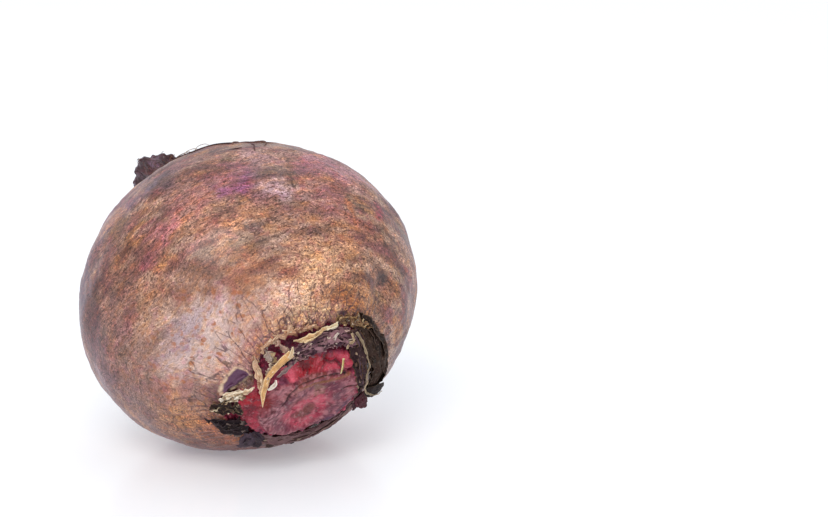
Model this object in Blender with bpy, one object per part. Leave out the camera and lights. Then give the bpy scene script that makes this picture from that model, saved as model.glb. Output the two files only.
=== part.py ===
"""A beetroot with its leaves trimmed off, lying on its flank.

The swollen root, its crown and its tap root grew as one piece. Round the crown stand the
dark dried bases of the leaves, and a torn papery skin hangs from the edge of the rind.
The crown points to the front, to the right and down, and the tap root away from it.
"""

import math

import bmesh
import bpy
import numpy as np
from mathutils import Matrix, Vector
from mathutils.bvhtree import BVHTree

MM = 0.001

# The swollen root about its own axis, which runs from the tap root to the crown
GLOBE_RADIUS = 42.3 * MM
CROWN_SIDE = 35.3 * MM
TAIL_SIDE = 36.2 * MM
SHOULDER_FULLNESS = 2.03
TAIL_FULLNESS = 1.96
TWO_LOBES = 0.0245
THREE_LOBES = 0.0095

# The trimmed crown: its radius, the dried face's radius and the rind's edge, one every 30 degrees
FACE_HEIGHT = 37.6 * MM
FACE_RADII = [14.4, 12.6, 8.2, 6.4, 6.0, 7.9, 9.9, 11.2, 12.0, 11.7, 11.2, 12.9]
STUMP_RADII = [15.2, 14.7, 14.6, 11.7, 10.7, 12.2, 14.8, 14.9, 13.5, 12.7, 12.2, 13.9]
RIND_RADII = [18.0, 19.2, 20.8, 18.7, 18.6, 17.2, 19.0, 18.4, 17.4, 16.2, 16.0, 17.0]
MOAT_DEPTHS = [1.4, 1.6, 2.0, 2.6, 2.8, 1.6, 0.6, 0.8, 0.6, 0.3, 0.3, 0.8]
RIND_LIP = 0.9 * MM
FLESH_SLOPE = 0.38

# The tap root, broken off short and dried
TAP_LENGTH = 19.0 * MM
TAP_RADIUS = 7.4 * MM
TAP_BEND = 7.7 * MM
TAP_BEND_TOWARDS = math.radians(187)
TAP_WRINKLE = 0.075

# Small forms of the rind
SHOULDER_RIDGES = 13
RIDGE_HEIGHT = 0.30 * MM
FURROW_DEPTH = 0.18 * MM
SCAR_DEPTH = 1.7 * MM
SCAR_TOWARDS = (31.0, 41.0)
SCAR_REACH = (3.2, 4.2)

# The flank that it lies on grew flatter than the rest
FLANK_FLATTENING = 2.0 * MM
FLANK_BREADTH = math.radians(27)
FLANK_BEHIND = math.radians(19)

# How it lies: the crown dips below the level and turns from -Y towards +X
CROWN_DIP = math.radians(25.9)
CROWN_TURN = math.radians(25.3)
CENTRE_ABOVE_FLOOR = 38.1 * MM
REST_SHIFT = (2.1 * MM, -0.9 * MM)

# Dried leaf bases and papery skin
LEAF_THICKNESS = 0.9 * MM
LEAF_RIPPLE = 0.4 * MM
PAPER_THICKNESS = 0.7 * MM
PAPER_RIPPLE = 0.15 * MM
LEAF_GAP = 0.35 * MM
PAPER_GAP = 0.55 * MM

ROOT_SEGMENTS = 74
CURVE_STEPS = 12
MERGE = 0.01 * MM


def round_the_crown(values, longitude):
    """A smooth value between a list's entries, which stand every 30 degrees of longitude."""
    place = (math.degrees(longitude) % 360) / 30
    first = int(place) % 12
    blend = place - int(place)
    v0, v1, v2, v3 = (values[(first + k) % 12] for k in (-1, 0, 1, 2))
    rise = (v2 - v0) / 2
    fall = (v3 - v1) / 2
    b2, b3 = blend * blend, blend**3
    return MM * (
        v1 * (2 * b3 - 3 * b2 + 1) + rise * (b3 - 2 * b2 + blend) + v2 * (3 * b2 - 2 * b3) + fall * (b3 - b2)
    )


def globe_height(radius):
    """How high the plain globe stands at a radius from its axis, on the crown's side."""
    inside = max(0.0, 1 - (radius / GLOBE_RADIUS) ** SHOULDER_FULLNESS)
    return CROWN_SIDE * inside ** (1 / SHOULDER_FULLNESS)


def globe_point(angle):
    """Radius and height on the globe's outline, the angle counted from the crown."""
    up, out = math.cos(angle), math.sin(angle)
    fullness = SHOULDER_FULLNESS if up > 0 else TAIL_FULLNESS
    side = CROWN_SIDE if up > 0 else TAIL_SIDE
    power = 2.0 / fullness
    return GLOBE_RADIUS * out**power, math.copysign(side * abs(up) ** power, up)


def outline_points(longitude):
    """The root's outline at a longitude, from the crown's middle to the end of the tap root."""
    face = round_the_crown(FACE_RADII, longitude)
    stump = max(round_the_crown(STUMP_RADII, longitude), face + 0.7 * MM)
    rind = max(round_the_crown(RIND_RADII, longitude), stump + 2.6 * MM)
    depth = round_the_crown(MOAT_DEPTHS, longitude)
    width = rind - stump
    edge = FACE_HEIGHT - 0.6 * MM - FLESH_SLOPE * (stump - face)
    crown = [
        (0.0, FACE_HEIGHT),
        (0.55 * face, FACE_HEIGHT + 0.1 * MM),
        (face - 0.25 * MM, FACE_HEIGHT - 0.05 * MM),
        (face + 0.15 * MM, FACE_HEIGHT - 0.5 * MM),
        ((face + stump) / 2, 0.45 * FACE_HEIGHT + 0.55 * edge - 0.15 * MM),
        (stump - 0.1 * MM, edge),
        (stump + 0.35 * MM, edge - 1.3 * MM),
        (stump + 0.25 * width, globe_height(stump) - 0.8 * depth),
        (stump + 0.5 * width, globe_height(stump + 0.5 * width) - depth),
        (stump + 0.84 * width, globe_height(rind) - 0.3 * depth),
        (rind, globe_height(rind) + RIND_LIP),
        (rind + 1.8 * MM, globe_height(rind + 1.8 * MM) + 0.35 * RIND_LIP),
        (rind + 5.0 * MM, globe_height(rind + 5.0 * MM)),
    ]
    globe = [globe_point(math.radians(a)) for a in (46, 58, 71, 84, 97, 110, 123, 135)]
    end = -TAIL_SIDE - TAP_LENGTH
    tap = [
        (17.5 * MM, -TAIL_SIDE + 2.8 * MM),
        (TAP_RADIUS + 4.2 * MM, -TAIL_SIDE - 0.6 * MM),
        (TAP_RADIUS + 1.1 * MM, -TAIL_SIDE - 5.0 * MM),
        (TAP_RADIUS, -TAIL_SIDE - 11.0 * MM),
        (TAP_RADIUS - 0.8 * MM, end + 3.0 * MM),
        (TAP_RADIUS - 2.8 * MM, end + 0.6 * MM),
        (0.0, end),
    ]
    return crown + globe + tap


def curve_through(points, steps=CURVE_STEPS):
    """A centripetal Catmull-Rom curve through points of any dimension, as a dense array."""
    knots = [np.array(p, float) for p in points]
    knots = [2 * knots[0] - knots[1]] + knots + [2 * knots[-1] - knots[-2]]
    dense = []
    for before, start, end, after in zip(knots, knots[1:], knots[2:], knots[3:]):
        t1 = np.linalg.norm(start - before) ** 0.5
        t2 = t1 + np.linalg.norm(end - start) ** 0.5
        t3 = t2 + np.linalg.norm(after - end) ** 0.5
        for step in range(steps):
            t = t1 + (t2 - t1) * step / steps
            a1 = before + (start - before) * t / t1
            a2 = start + (end - start) * (t - t1) / (t2 - t1)
            a3 = end + (after - end) * (t - t2) / (t3 - t2)
            b1 = a1 + (a2 - a1) * t / t2
            b2 = a2 + (a3 - a2) * (t - t1) / (t3 - t1)
            dense.append(b1 + (b2 - b1) * (t - t1) / (t2 - t1))
    dense.append(knots[-2])
    return np.array(dense)


OUTLINES = {}


def outline_at(longitude, mark):
    """Radius and height at a mark, which counts the outline's points from the crown."""
    key = round(math.degrees(longitude) % 360, 3)
    if key not in OUTLINES:
        OUTLINES[key] = curve_through(outline_points(longitude))
    dense = OUTLINES[key]
    marks = np.arange(len(dense)) / CURVE_STEPS
    radius = max(0.0, float(np.interp(mark, marks, dense[:, 0])))
    return radius, float(np.interp(mark, marks, dense[:, 1]))


def bump(value, middle, reach):
    return math.exp(-(((value - middle) / reach) ** 2))


def root_point(mark, longitude):
    """A point of the root's surface in the root's own frame, +Z towards the crown."""
    radius, height = outline_at(longitude, mark)
    body = min(1.0, radius / GLOBE_RADIUS) ** 0.7
    lobes = TWO_LOBES * math.cos(2 * longitude - 0.03) + THREE_LOBES * math.cos(3 * longitude - 0.4)
    radius *= 1 + body * lobes
    if mark > 21:
        dried = min(1.0, (mark - 21) / 3)
        twist = longitude + 45 * height
        radius *= 1 + TAP_WRINKLE * dried * (math.cos(5 * twist) + 0.7 * math.cos(8 * twist + 1.2))
    place = Vector((radius * math.cos(longitude), radius * math.sin(longitude), height))
    if place.length < 1e-6:
        return place
    outward = place.normalized()
    # Ridges run down from the rind's edge and furrows lie round the globe
    ridge = math.cos(SHOULDER_RIDGES * longitude + 1.3 * math.sin(2 * longitude) + 0.8 * math.sin(5 * longitude))
    place += outward * RIDGE_HEIGHT * ridge * bump(mark, 11.6, 1.4)
    furrow = math.cos(4.4 * mark + 0.9 * math.sin(longitude) + 0.5 * math.cos(3 * longitude))
    place -= outward * FURROW_DEPTH * furrow * bump(mark, 16.5, 3.2)
    # The scar of an outer leaf is a hollow in the shoulder
    scar = Vector((SCAR_TOWARDS[0], 0, 0)) * MM
    scar.rotate(Matrix.Rotation(math.radians(SCAR_TOWARDS[1]), 3, "Z"))
    across = place.xy - scar.xy
    along = across.dot(scar.xy.normalized()) / MM
    aside = across.cross(scar.xy.normalized()) / MM
    if height > 0:
        place -= outward * SCAR_DEPTH * bump(along, 0, SCAR_REACH[0]) * bump(aside, 0, SCAR_REACH[1])
    behind = CROWN_DIP - FLANK_BEHIND
    away = place.angle(Vector((0, -math.cos(behind), math.sin(behind))))
    place -= outward * FLANK_FLATTENING * bump(away, 0, FLANK_BREADTH)
    bend = max(0.0, (-height - TAIL_SIDE + 3 * MM) / (TAP_LENGTH + 3 * MM)) ** 1.3 * TAP_BEND
    return place + bend * Vector((math.cos(TAP_BEND_TOWARDS), math.sin(TAP_BEND_TOWARDS), 0))


def root_place(mark, longitude, lift):
    """A point that stands off the root's surface by a lift."""
    step = 0.02
    here = root_point(mark, longitude)
    down = root_point(mark + step, longitude) - root_point(mark - step, longitude)
    round_it = root_point(mark, longitude + step) - root_point(mark, longitude - step)
    normal = down.cross(round_it).normalized()
    return here + normal * lift


# Where the rings of the root's mesh lie, closest together on the crown
RING_MARKS = np.concatenate(
    [
        [0, 0.5, 1.0, 1.4, 1.75, 2.1, 2.5, 3, 3.6, 4.3, 5, 5.5, 6, 6.6, 7.2, 8, 8.7],
        [9.3, 9.7, 10, 10.4, 10.9, 11.5, 12.1, 12.6],
        np.linspace(13.1, 20.6, 14),
        [21, 21.5, 22, 22.5, 23, 23.5, 24, 24.4, 24.8, 25.2, 25.6, 26, 26.5, 27],
    ]
)

# Fine side roots, still lying on the rind: where each starts and which way it wanders
SIDE_ROOTS = [
    (22.3, 62, 17.8, 88),
    (21.8, 88, 18.6, 96),
    (22.6, 104, 19.2, 132),
    (21.6, 35, 18.9, 30),
    (22.2, 150, 19.4, 172),
    (21.9, 214, 18.8, 236),
    (22.4, 262, 19.6, 281),
    (21.7, 318, 18.7, 333),
]
SIDE_ROOT_RADIUS = 0.55 * MM

# Dried leaf bases, each a strip through points of x, y, lift over the globe, half width and roll
LEAF_BASES = {
    "upper_sheath": [
        (-6.6, 9.2, 2.2, 0.7, -10),
        (-3.6, 11.4, 2.1, 1.3, -14),
        (0.3, 13.1, 2.0, 1.7, -18),
        (3.6, 14.6, 2.0, 1.7, -18),
        (7.2, 15.4, 2.2, 1.9, -16),
        (10.4, 14.6, 2.6, 2.2, -10),
        (12.4, 12.2, 3.0, 2.0, 0),
    ],
    "right_inner_fold": [
        (10.6, 17.2, 2.4, 1.4, 10),
        (13.6, 12.9, 3.2, 1.9, 28),
        (15.9, 7.4, 3.8, 1.9, 34),
        (16.8, 1.2, 4.0, 1.8, 34),
        (17.2, -3.4, 3.6, 1.3, 26),
    ],
    "right_outer_fold": [
        (12.8, 18.0, 1.6, 1.2, -6),
        (17.0, 12.4, 2.1, 2.3, -14),
        (20.0, 5.6, 2.5, 2.9, -16),
        (21.3, -0.4, 2.8, 3.3, -12),
        (20.8, -4.6, 2.8, 2.4, 0),
    ],
    "hanging_lobe": [
        (17.0, -0.8, 3.4, 1.6, 0),
        (20.2, -3.2, 3.9, 2.4, 10),
        (23.4, -5.8, 3.8, 2.8, 6),
        (25.4, -7.6, 3.2, 1.7, 0),
    ],
    "torn_red_base": [
        (14.6, -5.4, 2.6, 1.6, 0),
        (18.0, -8.4, 2.8, 2.0, 8),
        (21.2, -10.8, 2.4, 0.8, 0),
    ],
    "left_upper_flap": [
        (-14.4, -1.0, 1.9, 1.3, 0),
        (-17.6, -3.0, 1.5, 1.6, 8),
        (-20.8, -5.0, 1.1, 1.1, 0),
    ],
    "left_middle_flap": [
        (-13.2, -5.6, 1.9, 2.0, 0),
        (-16.6, -8.0, 1.6, 2.5, 10),
        (-21.0, -10.6, 1.0, 1.4, 0),
    ],
    "left_lower_flap": [
        (-9.6, -10.8, 2.2, 2.6, 0),
        (-10.4, -15.2, 1.7, 3.2, -8),
        (-9.6, -20.8, 1.0, 2.4, 0),
    ],
    "under_rind": [
        (-11.2, -11.6, 1.7, 2.0, 0),
        (-6.6, -14.6, 1.6, 2.6, 6),
        (-0.6, -15.8, 1.6, 2.7, 6),
        (5.4, -14.9, 1.6, 2.6, 6),
        (10.6, -12.0, 1.7, 2.4, 6),
        (15.0, -8.0, 1.9, 1.8, 0),
    ],
    "under_tab_one": [
        (-3.6, -16.0, 1.4, 1.9, 0),
        (-3.9, -19.2, 1.1, 1.5, 6),
        (-2.8, -21.8, 0.9, 0.5, 0),
    ],
    "under_tab_two": [
        (2.0, -16.2, 1.4, 2.2, 0),
        (2.2, -19.4, 1.2, 1.7, -8),
        (3.8, -22.2, 0.9, 0.5, 0),
    ],
    "under_tab_three": [
        (7.4, -15.2, 1.5, 2.2, 0),
        (9.0, -18.0, 1.2, 1.5, 6),
        (9.4, -20.9, 0.9, 0.5, 0),
    ],
    "upper_right_crumple": [
        (9.4, 17.0, 1.9, 1.0, 0),
        (11.6, 17.2, 2.1, 1.3, 12),
        (13.8, 15.4, 2.4, 1.3, 0),
    ],
}

# Strips of the torn papery skin, in the same measures
PAPER_STRIPS = {
    "long_strip": [
        (-11.3, -0.2, 4.9, 0.35, 0),
        (-10.9, 3.2, 4.6, 0.65, 6),
        (-9.9, 6.4, 4.2, 0.8, 10),
        (-7.6, 9.8, 3.9, 0.85, 12),
        (-5.2, 13.0, 3.6, 0.9, 8),
        (-4.5, 15.6, 3.2, 1.3, 0),
        (-4.6, 18.2, 2.0, 1.1, 0),
    ],
    "cross_strip": [
        (-5.0, 15.6, 3.1, 0.7, 0),
        (-2.0, 16.4, 3.0, 0.8, -8),
        (1.2, 17.2, 2.9, 0.8, -8),
        (4.2, 18.1, 2.5, 0.9, 0),
        (7.4, 19.3, 1.9, 0.8, 0),
    ],
    "left_web": [
        (-14.6, 11.0, 1.6, 1.0, 0),
        (-12.6, 8.8, 2.3, 1.0, 0),
        (-11.2, 6.6, 3.4, 1.0, 0),
        (-10.4, 4.6, 4.4, 0.7, 0),
    ],
    "scar_web": [
        (-18.8, 2.0, 1.5, 0.9, 0),
        (-15.8, 3.6, 1.9, 1.0, 0),
        (-13.2, 5.0, 2.8, 1.0, 0),
        (-10.9, 5.4, 4.1, 0.7, 0),
    ],
    "thin_web": [
        (-11.4, 14.4, 1.6, 0.7, 0),
        (-9.6, 12.4, 2.6, 0.6, 0),
        (-7.8, 10.4, 3.8, 0.6, 0),
    ],
}
# The ring that the leaf bases grow from: lift over the globe and breadth, one every 30 degrees
BASE_RING_LIFTS = [3.4, 3.1, 2.3, 1.4, -0.8, -0.2, 1.4, 1.6, 1.8, 1.9, 2.0, 2.6]
BASE_RING_WIDTHS = [1.9, 1.9, 1.9, 1.5, 0.9, 0.9, 1.5, 1.8, 1.9, 1.9, 1.9, 1.9]
BASE_RING_DROP = 0.5

PAPER_EDGE_FROM = math.radians(63)
PAPER_EDGE_TO = math.radians(176)
PAPER_RAGGED = 0.3


def new_object(name, mesh, collection):
    obj = bpy.data.objects.new(name, mesh)
    collection.objects.link(obj)
    return obj


def finished_mesh(obj, name):
    """The object's mesh as its modifiers leave it, or as its curve's tube."""
    bpy.context.view_layer.update()
    graph = bpy.context.evaluated_depsgraph_get()
    mesh = bpy.data.meshes.new_from_object(obj.evaluated_get(graph))
    mesh.name = name
    return mesh


def make_root(collection):
    """The root's body: a sphere whose rings and meridians are moved onto the outline."""
    rings = len(RING_MARKS) - 1
    shape = bmesh.new()
    bmesh.ops.create_uvsphere(shape, u_segments=ROOT_SEGMENTS, v_segments=rings, radius=1.0)
    for vertex in shape.verts:
        ring = round(vertex.co.angle(Vector((0, 0, 1))) / math.pi * rings)
        longitude = math.atan2(vertex.co.y, vertex.co.x) if 0 < ring < rings else 0.0
        vertex.co = root_point(RING_MARKS[ring], longitude)
    mesh = bpy.data.meshes.new("root")
    shape.to_mesh(mesh)
    shape.free()
    return new_object("root", mesh, collection)


def make_side_root(number, course, collection):
    """A fine root that leaves the tap root and lies half sunk along the rind."""
    start_mark, start_longitude, end_mark, end_longitude = course
    curve = bpy.data.curves.new(f"side_root_{number}", "CURVE")
    curve.dimensions = "3D"
    curve.bevel_depth = SIDE_ROOT_RADIUS
    curve.bevel_resolution = 1
    curve.use_fill_caps = True
    spline = curve.splines.new("POLY")
    steps = 9
    spline.points.add(steps)
    for step in range(steps + 1):
        share = step / steps
        wander = 4.0 * math.sin(5.1 * share + number) * math.sin(math.pi * share)
        longitude = math.radians(start_longitude + (end_longitude - start_longitude) * share + wander)
        mark = start_mark + (end_mark - start_mark) * share
        lift = -0.9 * MM if step in (0, steps) else 0.22 * MM
        spline.points[step].co = (*root_place(mark, longitude, lift), 1)
        spline.points[step].radius = 1.0 - 0.25 * share
    tube = new_object(curve.name, curve, collection)
    mesh = finished_mesh(tube, curve.name)
    bpy.data.objects.remove(tube)
    shape = bmesh.new()
    shape.from_mesh(mesh)
    bmesh.ops.remove_doubles(shape, verts=shape.verts, dist=MERGE)
    shape.to_mesh(mesh)
    shape.free()
    return new_object(mesh.name, mesh, collection)


def join_all(body, pieces):
    """One Boolean union of a body with a collection's objects, which it then replaces."""
    union = body.modifiers.new("Union", "BOOLEAN")
    union.operation = "UNION"
    union.solver = "EXACT"
    union.operand_type = "COLLECTION"
    union.collection = pieces
    mesh = finished_mesh(body, body.name)
    body.modifiers.clear()
    body.data = mesh
    for piece in list(pieces.objects):
        bpy.data.objects.remove(piece)


def keep_largest(obj):
    """Drop every loose scrap beside the largest connected body."""
    shape = bmesh.new()
    shape.from_mesh(obj.data)
    shape.verts.ensure_lookup_table()
    left = set(shape.verts)
    bodies = []
    while left:
        reach = [left.pop()]
        body = set(reach)
        while reach:
            for edge in reach.pop().link_edges:
                for vertex in edge.verts:
                    if vertex in left:
                        left.remove(vertex)
                        body.add(vertex)
                        reach.append(vertex)
        bodies.append(body)
    keep = max(bodies, key=len)
    bmesh.ops.delete(shape, geom=[v for v in shape.verts if v not in keep], context="VERTS")
    shape.to_mesh(obj.data)
    shape.free()


def rest_on_floor(obj):
    """Cut the small flat spot that the root lies on, at the height of the floor."""
    bpy.context.view_layer.update()
    inverse = obj.matrix_world.inverted()
    shape = bmesh.new()
    shape.from_mesh(obj.data)
    cut = bmesh.ops.bisect_plane(
        shape,
        geom=shape.verts[:] + shape.edges[:] + shape.faces[:],
        plane_co=inverse @ Vector((0, 0, 0)),
        plane_no=inverse.to_3x3() @ Vector((0, 0, 1)),
        clear_inner=True,
    )
    rim = [part for part in cut["geom_cut"] if isinstance(part, bmesh.types.BMEdge)]
    bmesh.ops.contextual_create(shape, geom=rim)
    shape.to_mesh(obj.data)
    shape.free()


def over_globe(x, y, lift):
    """A point over the globe, in the root's own frame, and the globe's normal there."""
    radius = math.hypot(x, y)
    slope = (globe_height(radius + 0.5 * MM) - globe_height(radius - 0.5 * MM)) / MM
    normal = Vector((-slope * x / radius, -slope * y / radius, 1)).normalized()
    return Vector((x, y, globe_height(radius) + lift)), normal


def drape(place, normal, trees, clearance):
    """Lift a point along the globe's normal until it stands clear of the pieces underneath."""
    above = 15 * MM
    aside = normal.orthogonal().normalized()
    lift = 0.0
    for step in range(7):
        offset = Vector() if step == 6 else Matrix.Rotation(step * math.pi / 3, 3, normal) @ aside * clearance
        for tree in trees:
            found = tree.ray_cast(place + offset + normal * above, -normal, 2 * above)
            if found[0] is not None:
                lift = max(lift, above - found[3] + clearance)
    return place + normal * lift


def make_sheet(name, columns, rows, spot_at, thickness, gap, trees, collection, closed=False):
    """A sheet from a grid that is moved onto its spots, draped over the pieces underneath
    and thickened along the globe's normal, split into triangles alike on both faces."""
    shape = bmesh.new()
    bmesh.ops.create_grid(shape, x_segments=columns, y_segments=rows, size=1.0)
    for vertex in shape.verts:
        vertex.co = spot_at((vertex.co.x + 1) / 2, vertex.co.y)
    if closed:
        bmesh.ops.remove_doubles(shape, verts=shape.verts, dist=MERGE)
    own_gap = gap + thickness / 2 + 0.004 * MM * (sum(ord(letter) for letter in name) % 31)
    for vertex in shape.verts:
        normal = over_globe(vertex.co.x, vertex.co.y, 0)[1]
        vertex.co = drape(vertex.co, normal, trees, own_gap)
    bmesh.ops.triangulate(shape, faces=shape.faces)
    raised = bmesh.ops.extrude_face_region(shape, geom=shape.faces[:], use_keep_orig=True)["geom"]
    raised = {part for part in raised if isinstance(part, bmesh.types.BMVert)}
    for vertex in shape.verts:
        normal = over_globe(vertex.co.x, vertex.co.y, 0)[1]
        vertex.co += normal * thickness / 2 * (1 if vertex in raised else -1)
    bmesh.ops.recalc_face_normals(shape, faces=shape.faces)
    mesh = bpy.data.meshes.new(name)
    shape.to_mesh(mesh)
    shape.free()
    return new_object(name, mesh, collection)


def make_strip(name, spine, thickness, gap, trees, rows, ripple, collection):
    """A strip along its spine, waved at its edges."""
    dense = curve_through(spine, 10)
    last = len(dense) - 1
    spots = np.arange(len(dense))
    seed = sum(ord(letter) for letter in name) % 17

    def spot_at(along, aside):
        spot = along * last
        x, y, lift, half, roll = (float(np.interp(spot, spots, dense[:, k])) for k in range(5))
        ahead = np.array([np.interp(min(spot + 0.5, last), spots, dense[:, k]) for k in (0, 1)])
        back = np.array([np.interp(max(spot - 0.5, 0), spots, dense[:, k]) for k in (0, 1)])
        centre, normal = over_globe(x * MM, y * MM, lift * MM)
        onward = Vector((*(ahead - back), 0)).normalized()
        across = normal.cross(onward).normalized()
        across.rotate(Matrix.Rotation(math.radians(roll), 3, onward))
        uneven = 1 + 0.16 * math.sin(11 * along + seed) * abs(aside)
        wave = ripple * math.sin(9.5 * along + 1.9 * aside + seed) * abs(aside)
        return centre + across * aside * half * uneven * MM + normal * wave

    return make_sheet(name, 2 * len(spine), rows, spot_at, thickness, gap, trees, collection)


def make_base_ring(name, trees, collection):
    """The closed ring round the stump that the dried leaf bases grow from."""

    def spot_at(along, aside):
        longitude = 2 * math.pi * along
        breadth = round_the_crown(BASE_RING_WIDTHS, longitude) * (aside + 1) / 2
        stump = max(round_the_crown(STUMP_RADII, longitude), round_the_crown(FACE_RADII, longitude) + 0.7 * MM)
        radius = stump + LEAF_GAP + LEAF_THICKNESS / 2 + 0.15 * MM + breadth
        lift = round_the_crown(BASE_RING_LIFTS, longitude) - BASE_RING_DROP * breadth
        return over_globe(radius * math.cos(longitude), radius * math.sin(longitude), lift)[0]

    return make_sheet(name, 48, 2, spot_at, LEAF_THICKNESS, LEAF_GAP, trees, collection, closed=True)


def make_paper_edge(name, trees, collection):
    """The torn edge of the papery skin, which follows the rind's lip."""
    marks = (9.7, 10.2, 10.6, 11.1)

    def spot_at(along, aside):
        longitude = PAPER_EDGE_FROM + (PAPER_EDGE_TO - PAPER_EDGE_FROM) * along
        torn = PAPER_RAGGED * (math.sin(17 * longitude) + math.sin(29 * longitude + 1)) / 2
        return root_point(marks[round((aside + 1) * 1.5)] + torn * aside**3, longitude)

    return make_sheet(name, 34, 3, spot_at, PAPER_THICKNESS, PAPER_GAP, trees, collection)


def surface_of(obj):
    shape = bmesh.new()
    shape.from_mesh(obj.data)
    bmesh.ops.triangulate(shape, faces=shape.faces)
    tree = BVHTree.FromBMesh(shape)
    shape.free()
    return tree


def make_material(name, colour, roughness):
    material = bpy.data.materials.new(name)
    material.use_nodes = True
    shader = material.node_tree.nodes["Principled BSDF"]
    shader.inputs["Base Color"].default_value = (*colour, 1)
    shader.inputs["Roughness"].default_value = roughness
    shader.inputs["Metallic"].default_value = 0.0
    return material


for old in list(bpy.data.objects):
    bpy.data.objects.remove(old)
beetroot = bpy.data.collections.new("beetroot")
bpy.context.scene.collection.children.link(beetroot)
pieces = bpy.data.collections.new("pieces_to_join")
bpy.context.scene.collection.children.link(pieces)

root = make_root(beetroot)
for number, course in enumerate(SIDE_ROOTS):
    make_side_root(number, course, pieces)
join_all(root, pieces)
keep_largest(root)
root.rotation_euler = (math.pi / 2 + CROWN_DIP, 0, CROWN_TURN)
root.location = (REST_SHIFT[0], REST_SHIFT[1], CENTRE_ABOVE_FLOOR)
rest_on_floor(root)
root.data.materials.append(make_material("rind", (0.30, 0.17, 0.115), 0.62))
root_surface = surface_of(root)

collar = make_base_ring("leaf_base_collar", [root_surface], beetroot)
for name, spine in LEAF_BASES.items():
    make_strip(name, spine, LEAF_THICKNESS, LEAF_GAP, [root_surface], 3, LEAF_RIPPLE, pieces)
join_all(collar, pieces)
keep_largest(collar)
collar.data.materials.append(make_material("dried_leaf_base", (0.030, 0.022, 0.017), 0.8))
collar.parent = root

over_both = [root_surface, surface_of(collar)]
paper = make_paper_edge("papery_skin", over_both, beetroot)
for name, spine in PAPER_STRIPS.items():
    make_strip(name, spine, PAPER_THICKNESS, PAPER_GAP, over_both, 2, PAPER_RIPPLE, pieces)
join_all(paper, pieces)
keep_largest(paper)
paper.data.materials.append(make_material("papery_skin", (0.50, 0.34, 0.20), 0.7))
paper.parent = root

bpy.data.collections.remove(pieces)
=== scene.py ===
# A beetroot with its leaves trimmed off, lying on its flank on a pale floor
import math

import bmesh
import bpy
import numpy as np
from mathutils import Euler, Matrix, Vector, noise
from mathutils.bvhtree import BVHTree


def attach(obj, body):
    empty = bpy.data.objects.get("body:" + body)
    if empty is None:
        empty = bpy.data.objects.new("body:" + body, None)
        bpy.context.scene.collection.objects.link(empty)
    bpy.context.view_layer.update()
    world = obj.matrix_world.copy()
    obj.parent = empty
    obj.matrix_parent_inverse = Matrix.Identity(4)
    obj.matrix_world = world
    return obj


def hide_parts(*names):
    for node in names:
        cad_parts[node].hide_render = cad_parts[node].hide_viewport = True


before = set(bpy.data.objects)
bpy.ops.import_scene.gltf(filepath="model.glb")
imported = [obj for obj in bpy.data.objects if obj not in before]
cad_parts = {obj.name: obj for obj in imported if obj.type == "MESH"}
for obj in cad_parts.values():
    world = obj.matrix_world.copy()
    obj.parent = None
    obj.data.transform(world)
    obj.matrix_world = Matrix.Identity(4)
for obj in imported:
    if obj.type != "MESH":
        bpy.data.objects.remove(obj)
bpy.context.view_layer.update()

mm = 0.001

# How the root lies, in degrees and mm: its own +Z runs from the tap root to the crown
lie = {"dip": 25.9, "turn": 25.3, "centre": (2.1, -0.9, 38.1)}
tilt = Euler((math.radians(90 + lie["dip"]), 0, math.radians(lie["turn"]))).to_matrix()
tiltRows = np.array(tilt)


def toWorld(places):
    # From the root's own frame to the floor's frame, both in mm
    return np.asarray(places) @ tiltRows.T + np.array(lie["centre"])


def toRoot(places):
    return (np.asarray(places) - np.array(lie["centre"])) @ tiltRows


def colour(hexCode, alpha=1.0):
    # sRGB hex to the linear colour that a shader takes
    parts = [int(hexCode[k:k + 2], 16) / 255 for k in (1, 3, 5)]
    return (*[c / 12.92 if c <= 0.04045 else ((c + 0.055) / 1.055) ** 2.4 for c in parts], alpha)


def addNode(tree, kind, inputs=None, stops=None, **settings):
    # Adds one node: inputs maps a socket's name or number to a value or to another node's output
    node = tree.nodes.new(kind)
    for name, value in settings.items():
        setattr(node, name, value)
    for socket, value in (inputs or {}).items():
        if isinstance(value, bpy.types.NodeSocket):
            tree.links.new(value, node.inputs[socket])
        else:
            node.inputs[socket].default_value = value
    for number, (place, hexCode) in enumerate(stops or []):
        ramp = node.color_ramp.elements
        stop = ramp[number] if number < len(ramp) else ramp.new(place)
        stop.position = place
        stop.color = colour(hexCode)
    return node


def cloud(places, size, seed=0, octaves=1):
    # Smooth noise of about -0.5 to 0.5, whose lumps are about size mm apart
    flat = np.reshape(places, (-1, 3)) / size + np.array((17.3, -9.1, 5.7)) * seed
    values = [noise.fractal(Vector(p), 1.0, 2.0, octaves) for p in flat]
    return np.reshape(values, np.shape(places)[:-1])


def bump(value, middle, reach):
    return np.exp(-(((value - middle) / reach) ** 2))


def smoothStep(value, low, high):
    share = np.clip((value - low) / (high - low), 0, 1)
    return share * share * (3 - 2 * share)


def mixInto(tints, amount, hexCode):
    # Blends a colour into rows of linear colours
    return tints + (np.array(colour(hexCode)[:3]) - tints) * np.clip(amount, 0, 1)[..., None]


def pathDistance(x, y, points, closed=False):
    # Distance in mm to a line through points, negative inside a closed one
    points = list(points) + ([points[0]] if closed else [])
    nearest = np.full(np.shape(x), 1e9)
    inside = np.zeros(np.shape(x), bool)
    for (x0, y0), (x1, y1) in zip(points, points[1:]):
        dx, dy = x1 - x0, y1 - y0
        share = np.clip(((x - x0) * dx + (y - y0) * dy) / (dx * dx + dy * dy), 0, 1)
        nearest = np.minimum(nearest, np.hypot(x - x0 - share * dx, y - y0 - share * dy))
        crosses = (y0 > y) != (y1 > y)
        inside ^= crosses & (x < x0 + (y - y0) * dx / (dy if dy else 1e-9))
    return np.where(inside, -nearest, nearest) if closed else nearest


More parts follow.
